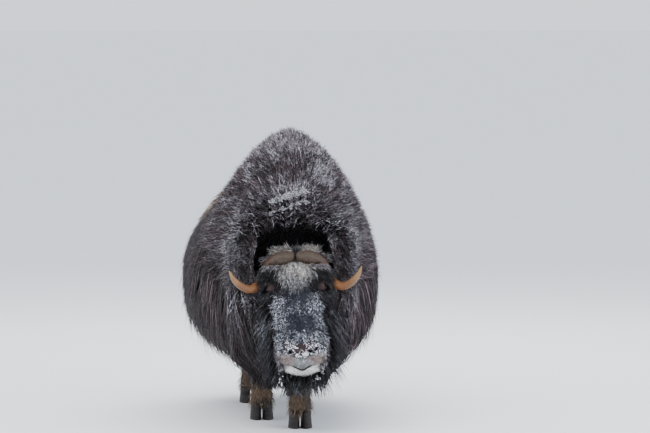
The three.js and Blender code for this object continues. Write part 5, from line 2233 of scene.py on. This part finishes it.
class ShortFur:
    """The hair that grows from the skin itself: the head's, the legs' and the lining of the mane's hollow."""

    def __init__(self, maker: TuftMaker, skin: Object) -> None:
        """Keeps the skin's triangles, for drawing roots on them.

        Args:
            maker: Makes the tufts.
            skin: The finished skin.
        """
        self.maker = maker
        self.points = coordinates(skin)
        self.tri = triangles(skin)
        a, b, c = (self.points[self.tri[:, k]] for k in range(3))
        cross = np.cross(b - a, c - a)
        self.area = np.linalg.norm(cross, axis=1) / 2
        self.normal = unit(cross)
        self.middle = (a + b + c) / 3
        self.local = HEAD.to_head(self.middle)
        self.on_head = is_head(self.middle)

    def region(self, place: Place) -> Array:
        """Finds the skin's triangles that a patch of hair grows on.

        Args:
            place: The patch.

        Returns:
            Which of the triangles belong to it.
        """
        local, p = self.local, self.middle
        x, y, z = np.abs(local[:, 0]), local[:, 1], local[:, 2]
        if place is Place.FACE:
            eye = np.linalg.norm(np.stack([x, y, z], 1) - EYE_PLACE, axis=1) < 0.0255
            return self.on_head & ~eye & (MARKINGS.pad(local) < 0.4) & (y < 0.13)
        if place is Place.JAW:
            return self.on_head & (x > 0.100) & (z < -0.185) & (z > -0.455) & (y > -0.010)
        if place is Place.CHIN:
            return self.on_head & (z < -0.36) & (y > 0.015)
        if place is Place.MUZZLE:
            return self.on_head & (x > 0.080) & (z < -0.375) & (z > -0.497) & (np.abs(y - 0.005) < 0.055)
        if place is Place.LEGS:
            return ~self.on_head & (p[:, 2] < 0.46) & (p[:, 2] > 0.070) & (np.abs(self.normal[:, 2]) < 0.8)
        across = (p[:, 0] - HOLLOW.x) / (HOLLOW.half_at_rim + 0.04)
        up = (p[:, 2] - HOLLOW.wide) / (HOLLOW.top_at_rim - HOLLOW.wide + 0.05)
        return ~self.on_head & (p[:, 1] < -0.64) & (p[:, 2] > 0.52) & (np.hypot(across, up) < 1.0)

    def roots(self, place: Place, count: int, rng: Rng) -> tuple[Array, Array]:
        """Draws roots on one patch of the skin.

        Args:
            place: The patch.
            count: How many to draw.
            rng: Draws them.

        Returns:
            The roots, and the way out of the skin at each.
        """
        weight = np.where(self.region(place), self.area, 0.0)
        pick = rng.choice(len(self.tri), count, p=weight / weight.sum())
        u, v = rng.random((2, count))
        flip = u + v > 1
        u, v = np.where(flip, 1 - u, u), np.where(flip, 1 - v, v)
        a, b, c = (self.points[self.tri[pick, k]] for k in range(3))
        return a + (b - a) * u[:, None] + (c - a) * v[:, None], self.normal[pick]

    @staticmethod
    def lying(
        root: Array, normal: Array, lie: Array, length: Array, lift: Array, look: HairLook,
        rng: Rng,
    ) -> tuple[Array, Array]:
        """Makes short bent tufts that lie along the skin.

        Args:
            root: Their roots.
            normal: The way out of the skin.
            lie: The way they lie.
            length: How long each is.
            lift: How far each tip stands off the skin.
            look: The style of the hair.
            rng: Draws what differs from tuft to tuft.

        Returns:
            The lines, and the way out of the coat along them.
        """
        n, steps = len(root), look.steps
        flat = unit(lie - (lie * normal).sum(-1, keepdims=True) * normal)
        flat = unit(flat + look.stray * (rng.random((n, 3)) - 0.5))
        t = np.linspace(0, 1, steps)
        rise = (-0.12 + 1.12 * t**0.75)[None, :] * lift[:, None]
        points = root[:, None] + flat[:, None] * (length[:, None] * t)[..., None]
        points = points + normal[:, None] * rise[..., None]
        outward = np.broadcast_to(normal[:, None], points.shape).copy()
        return curled(points, outward, look.curl, rng), outward

    @staticmethod
    def bent(
        root: Array, way: Array, bend: Array, length: Array, look: HairLook,
        rng: Rng,
    ) -> tuple[Array, Array]:
        """Makes free tufts that leave their roots one way and bend another.

        Args:
            root: Their roots.
            way: The way they leave.
            bend: The way they bend, as a share of their length.
            length: How long each is.
            look: The style of the hair.
            rng: Draws what differs from tuft to tuft.

        Returns:
            The lines, and the way out of the coat along them.
        """
        n, steps = len(root), look.steps
        t = np.linspace(0, 1, steps)[None, :, None]
        way = unit(way + look.stray * (rng.random((n, 3)) - 0.5))
        size = length[:, None, None]
        points = root[:, None] + way[:, None] * size * t + bend[:, None] * size * t**2
        outward = unit(np.broadcast_to(way[:, None] - bend[:, None] * 0.8, points.shape))
        return curled(points, outward, look.curl, rng), outward

    @staticmethod
    def head_uv(place: Array) -> Array:
        """The roots' places on the head's own unwrap."""
        turn = np.arctan2(place[:, 0], -place[:, 1]) / (2 * math.pi) + 0.5
        return np.clip(np.stack([turn, -place[:, 2] / 0.65 + 0.1], -1), 0.01, 0.99)

    def face(self, finish: Material) -> None:
        """Grows the short frosted fur of the face.

        Args:
            finish: Its material.
        """
        rng = np.random.default_rng(51)
        look = HairLook(count=13000, length=0.02, half=0.0023, steps=3, curl=0.0025, stray=1.4)
        root, normal = self.roots(Place.FACE, look.count, rng)
        place = HEAD.to_head(root)
        x, y, z = place.T
        swirl = lattice_noise(place, 0.05, 17) * 4 - 2
        spread = 0.8 * np.sign(x) * ramp(np.abs(x), 0.0, 0.07) + 0.8 * swirl * ramp(-z, 0.15, 0.25)
        lie = HEAD.turn_to_world(np.stack([spread, np.full(len(x), 0.2), np.full(len(x), -1.0)], -1))
        top, low = 1 - ramp(-z, 0.12, 0.2), ramp(-z, 0.36, 0.43)
        length = mix(0.023, 0.034, top) * rng.uniform(0.7, 1.3, len(x)) * mix(1.0, 0.38, low)
        lift = mix(0.006, 0.013, top) * rng.uniform(0.4, 1.6, len(x)) * mix(1.0, 0.45, low)
        line = (np.abs(z - MARKINGS.mouth_line(x)) < 0.010) & (y < 0.0)
        length = np.where(line, 0.005, length)
        lift = np.where(line, 0.001, lift)
        points, outward = self.lying(root, normal, lie, length, lift, look, rng)
        half = widths(look, len(x), rng) * mix(1.0, 0.7, low)[:, None]
        frost = np.clip(MARKINGS.frost_head(place) * rng.uniform(0.5, 1.5, len(x)), 0, 1)
        tone = rng.random(len(x))
        guides = Guides(points, outward, half, MARKINGS.head(place), frost, tone, self.head_uv(place))
        self.maker.grow("face_fur", guides, finish, "face")

    def tress(
        self, name: str, root: Array, way: Array, bend: Array, length: Array, colour: Array,
        frost: Array, look: HairLook, finish: Material, rng: Rng,
    ) -> None:
        """Grows one patch of longer free hair on the head. Its places and directions are in the head's frame.

        Args:
            name: Name of the patch.
            root: The roots.
            way: The way the hair leaves them.
            bend: The way it bends, as a share of its length.
            length: How long each tuft is.
            colour: Its colour.
            frost: How much frost lies on it.
            look: The style of the hair.
            finish: Its material.
            rng: Draws what differs from tuft to tuft.
        """
        points, outward = self.bent(root, way, bend, length, look, rng)
        side, deep, z = np.abs(points[..., 0]), points[..., 1], points[..., 2]
        before_eye = (np.abs(side - 0.120) < 0.023) & (np.abs(z + 0.149) < 0.0145) & (deep < 0.0)
        in_seam = (side < 0.014) & (np.abs(z + 0.010) < 0.025) & (deep < 0.08)
        clear = ~(before_eye | in_seam).any(1)
        points, outward = HEAD.to_world(points), HEAD.turn_to_world(outward)
        tone = np.where(rng.random(len(root)) < look.pale, 3.5, rng.uniform(0.5, 1.2, len(root)))
        colour = np.broadcast_to(colour, root.shape) * tone[:, None]
        half = widths(look, len(root), rng)
        guides = Guides(points, outward, half, colour, frost, rng.random(len(root)), self.head_uv(root))
        self.maker.grow(name, guides.part(clear), finish, "face")

    def boxed(self, name: str, box: HairBox, finish: Material) -> None:
        """Grows a patch of free hair from a box of roots.

        Args:
            name: Name of the patch.
            box: The patch.
            finish: Its material.
        """
        rng = np.random.default_rng(box.seed)
        count = box.count
        side = rng.choice(MIRROR, count)[:, None] * np.array([1.0, 0, 0]) + np.array([0, 1.0, 1.0])
        root = rng.uniform(box.low, box.high, (count, 3)) * side
        look = HairLook(count, box.length[1], box.half, steps=4, stray=0.7, curl=0.004, blunt=1.7)
        cold = np.clip(rng.uniform(0, 2 * box.frost, count), 0, 1)
        way, bend, size = np.array(box.way) * side, np.array(box.bend) * side, rng.uniform(*box.length, count)
        self.tress(name, root, way, bend, size, np.array(box.colour), cold, look, finish, rng)

    def head(self, finish: Material) -> None:
        """Grows the longer hair of the head: fluff behind the boss, forelock, brows, temples, jaws and beard.

        Args:
            finish: Its material.
        """
        for name, box in BOXES.items():
            self.boxed(name, box, finish)
        self.forelock(finish)
        for name, place, count, length, half, cold, seed, colour in (
            ("jaw_hair", Place.JAW, 1300, (0.06, 0.13), 0.0034, 0.35, 66, (0.022, 0.018, 0.022)),
            ("beard", Place.CHIN, 850, (0.07, 0.15), 0.0032, 0.35, 67, MARKINGS.beard),
            ("muzzle_sides", Place.MUZZLE, 800, (0.014, 0.030), 0.0021, 1.3, 69, (0.15, 0.118, 0.122)),
        ):
            rng = np.random.default_rng(seed)
            root, normal = self.roots(place, count, rng)
            root, normal = HEAD.to_head(root), HEAD.turn_to_head(normal)
            down = HEAD.turn_to_head(np.array([0.0, 0.0, -1.0]))
            way = unit(normal * np.array([1.0, 0.5, 1.0]) + down * 0.9 + np.array([0, 0.15, 0]))
            look = HairLook(count, length[1], half, steps=5, stray=0.6, curl=0.1 * length[1], pale=0.16)
            size = rng.uniform(*length, count)
            size = np.minimum(size, np.maximum(HEAD.to_world(root)[:, 2] - 0.20, 0.02))
            rime = 0.9 * np.exp(-(((root[:, 2] + 0.265) / 0.035) ** 2)) * ramp(-root[:, 0], 0.09, 0.11)
            frost = rng.uniform(0, cold, count) * lattice_noise(root, 0.03, 14)
            frost = np.clip(frost + rime * rng.random(count), 0, 1)
            if place is Place.CHIN:
                self.ice(HEAD.to_world(root), finish)
            bend = np.broadcast_to(down * 0.35, root.shape)
            self.tress(name, root, way, bend, size, np.array(colour), frost, look, finish, rng)

    def ice(self, root: Array, finish: Material) -> None:
        """Hangs small lumps of ice in the beard, in a few clusters.

        Args:
            root: Roots of the beard, in the world.
            finish: Their material.
        """
        rng = np.random.default_rng(68)
        clusters, count = 16, 110
        middles = root[rng.choice(len(root), clusters)]
        back, down = rng.uniform(0.03, 0.06, clusters), rng.uniform(0.03, 0.09, clusters)
        middles = middles - np.stack([np.zeros(clusters), back, down], -1)
        place = middles[rng.integers(0, clusters, count)] + rng.normal(0, 0.006, (count, 3))
        place[:, 2] = np.maximum(place[:, 2], 0.20)
        crumbs = Crumbs(0.7, (0.006, 0.013), (0.0022, 0.0045), (0.5, 1.0, 0.9, 0.3), 0.75)
        uv = self.head_uv(HEAD.to_head(place))
        guides = crumbs.guides(place, np.array([0, 0, -1.0]), np.array([0, -1.0, 0]), uv, rng)
        self.maker.grow("beard_ice", guides, finish, "face", Profile.ROUND)

    def forelock(self, finish: Material) -> None:
        """Grows the pale hair that sprays from under the middle of the boss over the forehead.

        Args:
            finish: Its material.
        """
        rng = np.random.default_rng(65)
        count = 1800
        drop = rng.random(count) ** 1.1
        x = (rng.normal(0, 0.033, count) * mix(1.0, 0.68, drop)).clip(-0.074, 0.074)
        z = -0.027 - 0.44 * np.abs(x) - 0.112 * drop * (1 - np.abs(x) / 0.11)
        y = -0.018 - 0.25 * np.abs(z + 0.02)
        root = np.stack([x, y, z], -1)
        way = np.stack([x / 0.06, np.full(count, -0.9), np.full(count, -0.35)], -1)
        bend = np.broadcast_to(np.array([0, 0.35, -0.9]), root.shape)
        look = HairLook(count=count, length=0.05, half=0.0019, steps=4, stray=1.0, curl=0.006, blunt=1.7)
        fade = np.maximum(ramp(-z, 0.055, 0.125), 0.7 * ramp(np.abs(x), 0.030, 0.068))[:, None]
        colour = mix(np.array(MARKINGS.forehead), np.array(MARKINGS.forehead) * 0.36, fade)
        dark = rng.random((count, 1)) < mix(0.15, 0.62, fade)
        colour = np.clip(np.where(dark, 0.12, 1.0) * colour * rng.uniform(0.6, 1.35, (count, 1)), 0, 0.9)
        length, frost = rng.uniform(0.026, 0.046, count), rng.uniform(0, 0.5, count)
        self.tress("forelock", root, way, bend, length, colour, frost, look, finish, rng)

    def legs(self, finish: Material) -> None:
        """Grows the short fur of the legs, which lies downwards and gets longer over the hooves.

        Args:
            finish: Its material.
        """
        rng = np.random.default_rng(52)
        look = HairLook(count=8000, length=0.03, half=0.0022, steps=3, curl=0.003, stray=0.7)
        root, normal = self.roots(Place.LEGS, look.count, rng)
        lie = np.broadcast_to(np.array([0, 0.12, -1.0]), root.shape)
        length = 0.034 * rng.uniform(0.7, 1.3, len(root)) * mix(0.7, 1.2, ramp(root[:, 2], 0.1, 0.35))
        low = 1 - ramp(root[:, 2], 0.095, 0.15)
        length = mix(length, rng.uniform(0.035, 0.065, len(root)), low)
        length = np.minimum(length, np.maximum(root[:, 2] - 0.018, 0.012))
        lift = mix(0.009, 0.013, low) * rng.uniform(0.6, 1.3, len(root))
        points, outward = self.lying(root, normal, lie, length, lift, look, rng)
        turn = np.arctan2(normal[:, 0], normal[:, 1]) / (2 * math.pi) + 0.5
        quarter = (root[:, 0] > 0) * 1 + (root[:, 1] > 0.2) * 2
        uv = np.stack([0.02 + quarter * 0.245 + turn * 0.22, root[:, 2] / 0.5], -1)
        half = widths(look, len(root), rng)
        bare = np.zeros(len(root))
        guides = Guides(points, outward, half, MARKINGS.leg(root), bare, rng.random(len(root)), uv)
        self.maker.grow("leg_fur", guides, finish, "stocking")

    def lining(self, finish: Material) -> None:
        """Grows the hair inside the hollow of the mane, near-black for the dark hair there and as painted
        shade.

        Args:
            finish: Its material.
        """
        rng = np.random.default_rng(53)
        look = HairLook(count=1300, length=0.05, half=0.0050, steps=3, curl=0.007, stray=1.4)
        root, normal = self.roots(Place.LINING, look.count, rng)
        n = len(root)
        lie = np.stack([np.zeros(n), np.full(n, -0.8), np.full(n, -0.4)], -1)
        length, lift = rng.uniform(0.03, 0.06, n), rng.uniform(0.008, 0.02, n)
        points, outward = self.lying(root, normal, lie, length, lift, look, rng)
        # The near-black of the hollow, partly dark hair and partly painted shade.
        colour = np.broadcast_to(np.array(MARKINGS.cavity) * 1.6, (n, 3))
        uv = np.clip(np.stack([0.5 + (root[:, 0] - HOLLOW.x), root[:, 2] - 0.2], -1), 0.01, 0.99)
        guides = Guides(points, outward, widths(look, n, rng), colour, np.zeros(n), rng.random(n), uv)
        self.maker.grow("lining", guides, finish, "mane")


# Horns, hooves, eyes and floor


@dataclass(frozen=True)
class Horns:
    """Both halves of the boss with their horns, which curve down beside the face and out to upturned tips."""

    seam: float = 0.0022
    ridge: float = 0.0045
    pit: float = 0.0025
    around: int = 40
    steps: int = 120
    stops: tuple[Stop, ...] = (
        (0.0025, 0.034, -0.0115, 0.062, 0.0235), (0.0120, 0.034, -0.0115, 0.071, 0.0285),
        (0.040, 0.031, -0.0145, 0.079, 0.0360), (0.075, 0.031, -0.0205, 0.076, 0.0365),
        (0.105, 0.035, -0.0305, 0.063, 0.0315), (0.128, 0.044, -0.049, 0.046, 0.026),
        (0.142, 0.050, -0.080, 0.036, 0.0235), (0.154, 0.036, -0.112, 0.029, 0.0225),
        (0.176, 0.010, -0.138, 0.024, 0.0215), (0.213, -0.022, -0.154, 0.0195, 0.0185),
        (0.251, -0.054, -0.142, 0.0165, 0.016), (0.281, -0.078, -0.113, 0.0118, 0.0113),
        (0.300, -0.092, -0.076, 0.0025, 0.0025),
    )

    def relief(self, body: Array, along: Array, across: Array) -> Array:
        """The coarse ridges and pits of the boss, which fade out along the horn.

        Args:
            body: Places on the horn.
            along: Their shares of its length.
            across: Their shares of the way round it.

        Returns:
            How far each place is raised.
        """
        grain = lattice_noise(np.stack([across * 1.1, along * 0.9, across * 0], -1), 0.05, 5)
        relief = self.ridge * (grain - 0.5)
        relief += self.ridge * (lattice_noise(body, 0.012, 6) - 0.5)
        relief -= self.pit * (lattice_noise(body, 0.006, 9) > 0.68)
        return relief * (1 - ramp(along, 0.30, 0.55))

    def build(self, finish: Material) -> None:
        """Makes both horns in place of the plain ones.

        Args:
            finish: Their material.
        """
        along = np.repeat(np.linspace(0, 1, self.steps), self.around)
        across = np.tile(np.linspace(0, 1, self.around, endpoint=False), self.steps)
        for name, side in SIDES.items():
            rows = np.array(self.stops) * (side, 1, 1, 1, 1)
            horn = tube("horn_fine_" + name, rows, (0, 1, 0), self.around, self.steps)
            points = coordinates(horn)
            body = points[: len(along)]
            body[:, 0] = side * np.maximum(side * body[:, 0], self.seam)
            centre = path_of(rows, self.steps)[:, :3].repeat(self.around, 0)
            body += unit(body - centre) * self.relief(body, along, across)[:, None]
            horn.data.vertices.foreach_set("co", HEAD.to_world(points).astype(np.float32).ravel())
            horn.data.update()
            write_attribute(horn, "along", "FLOAT", np.concatenate([along, [0, 1]]))
            write_attribute(horn, "across", "FLOAT", np.concatenate([np.abs(across * 2 - 1), [0, 0]]))
            dress(horn, finish, "horn", "horn_" + name)


@dataclass(frozen=True)
class Hooves:
    """The cloven hooves: two toes each, broad and round at the ground, with the dew claws behind them."""

    height: float = 0.076
    spread: float = 0.0295
    half: float = 0.0265
    front: Pair = (0.069, 0.049)
    back: Pair = (0.050, 0.043)
    around: int = 40
    rings: int = 22

    def toe(self, side: float) -> Object:
        """Makes one toe, standing on the floor at the foot's own origin.

        Args:
            side: 1 for the left toe and -1 for the right one.

        Returns:
            The object.
        """
        t = np.concatenate([[0.0, 0.02], np.linspace(0.05, 1.0, self.rings - 3), [1.0]])[:, None]
        a = np.linspace(0, 2 * math.pi, self.around, endpoint=False)[None]
        inset = np.concatenate([[0.92], np.ones(self.rings - 2), [0.6]])[:, None]
        groove = 1 + 0.012 * np.sin(t * 46 + 0.6 * np.sin(a)) * ramp(t, 0.05, 0.2)
        groove = groove + 0.035 * ramp(t, 0.86, 0.95)
        ahead = np.maximum(np.cos(a), 0) ** 2
        x, y = oval(a + math.pi / 2, 1.0, 1.0, 1.0, 2.3, 2.3)
        reach = np.where(x > 0, mix(self.front[0], self.front[1], t), mix(self.back[0], self.back[1], t))
        width = self.half * (1 - 0.13 * t) * (1 - 0.30 * ahead)
        across = self.spread * (1 - 0.10 * t) - 0.0055 * ahead + width * y * inset * groove
        up = np.broadcast_to(t * self.height, across.shape)
        return loft("toe", np.stack([side * across, -x * reach * inset * groove, up], -1))

    def foot(self, name: str) -> Object:
        """Makes one hoof of two toes and two dew claws, at the foot's own origin.

        Args:
            name: Name of the object.

        Returns:
            The object.
        """
        parts = [self.toe(side) for side in SIDES.values()]
        for side in SIDES.values():
            parts.append(ball("dew_claw", (side * 0.022, 0.052, 0.104), (0.011, 0.013, 0.018), (0.4, 0, 0)))
        return joined(name, parts)

    def build(self, finish: Material) -> None:
        """Makes the four hooves in place of the plain ones.

        Args:
            finish: Their material.
        """
        for name, leg in LEGS.items():
            hoof = self.foot("hoof_fine_" + name)
            hoof.data.transform(Matrix.Translation((*leg.foot, 0.0)))
            dress(hoof, finish, "hoof", "hoof_" + name)


@dataclass(frozen=True)
class Eyes:
    """Both eyes."""

    def build(self, finish: Material) -> None:
        """Makes the eyes in place of the plain ones.

        Args:
            finish: Their material.
        """
        for name, side in SIDES.items():
            eye = ball("eyeball_" + name, EYE_PLACE * (side, 1, 1), (EYE_RADIUS,) * 3)
            eye.data.transform(HEAD.matrix)
            dress(eye, finish, "eye", "eye_" + name)


@dataclass(frozen=True)
class Studio:
    """A pale floor, soft light and the camera of the photograph."""

    lens: float = 200.0
    place: Triple = (-1.3055, -17.197, 1.912)
    turn: Triple = (math.radians(90.0 - 3.21), 0.0, math.radians(-5.0))
    lamp_size: float = 4.0
    target: Triple = (0.0, 0.0, 0.7)
    floor_size: float = 400.0

    def build(self) -> None:
        """Builds the floor, the lights and the camera."""
        size = self.floor_size
        corners = np.array([(-size, -size, 0), (size, -size, 0), (size, size, 0), (-size, size, 0)])
        floor = object_of("floor", corners, [(0, 1, 2, 3)])
        shader = Shader("floor")
        colour = shader.mix(shader.noise(shader.place(), 0.8), (0.90, 0.91, 0.93), (0.93, 0.94, 0.955))
        floor.data.materials.append(shader.finished(colour, 0.9))
        world = bpy.data.worlds.new("studio")
        world.use_nodes = True
        background = world.node_tree.nodes["Background"].inputs
        background["Color"].default_value = (0.84, 0.89, 0.98, 1)
        background["Strength"].default_value = 1.5
        bpy.context.scene.world = world
        self.light("key", (-2.5, -4.5, 5.5), 300, (1.0, 0.98, 0.95))
        self.light("fill", (4.0, -3.0, 3.0), 110, (0.92, 0.96, 1.0))
        self.light("rim", (1.0, 4.0, 5.5), 320, (1.0, 1.0, 1.0))
        camera = in_scene("camera", bpy.data.cameras.new("camera"))
        camera.data.lens = self.lens
        camera.data.clip_end = 900
        camera.location = self.place
        camera.rotation_euler = self.turn
        bpy.context.scene.camera = camera

    def light(self, name: str, place: Triple, power: float, colour: Triple) -> None:
        """Adds one soft square light that looks at the animal.

        Args:
            name: Name of the light.
            place: Where it stands.
            power: Its power, in watts.
            colour: Its colour.
        """
        lamp = bpy.data.lights.new(name, "AREA")
        lamp.size, lamp.energy, lamp.color = self.lamp_size, power, colour
        obj = in_scene(name, lamp)
        obj.location = place
        obj.rotation_euler = (Vector(self.target) - Vector(place)).to_track_quat("-Z", "Y").to_euler()


def main() -> None:
    """Builds the animal and its studio."""
    logging.basicConfig(level=logging.INFO, format="%(message)s")
    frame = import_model()
    maker = TuftMaker()
    skin = Skin().build()
    kept = {"hoof_" + leg for leg in LEGS} | {"horn_left", "horn_right", "eye_left", "eye_right"}
    dress(skin, SkinFinish().build(), "coat", *[n for n in frame["nodes"] if n not in kept])
    wool_finish = HairFinish("wool").build()
    guard_finish = HairFinish("guard_hair", roughness=0.5, frost_colour=(0.45, 0.42, 0.48)).build()
    Coat(maker).build(wool_finish, guard_finish)
    Ends(maker).build(wool_finish, guard_finish)
    fur = ShortFur(maker, skin)
    frosted = (0.72, 0.76, 0.84)
    fur.face(HairFinish("face_fur", strands=3.0, root_shade=0.6, frost_colour=frosted).build())
    fur.head(HairFinish("head_hair", strands=4.0, root_shade=0.5, frost_colour=frosted).build())
    fur.legs(HairFinish("leg_fur", strands=3.0, root_shade=0.6).build())
    fur.lining(HairFinish("lining", root_shade=0.6).build())
    Horns().build(HornFinish().build())
    Eyes().build(EyeFinish().build())
    Hooves().build(HoofFinish().build())
    Studio().build()


if __name__ == "__main__":
    main()
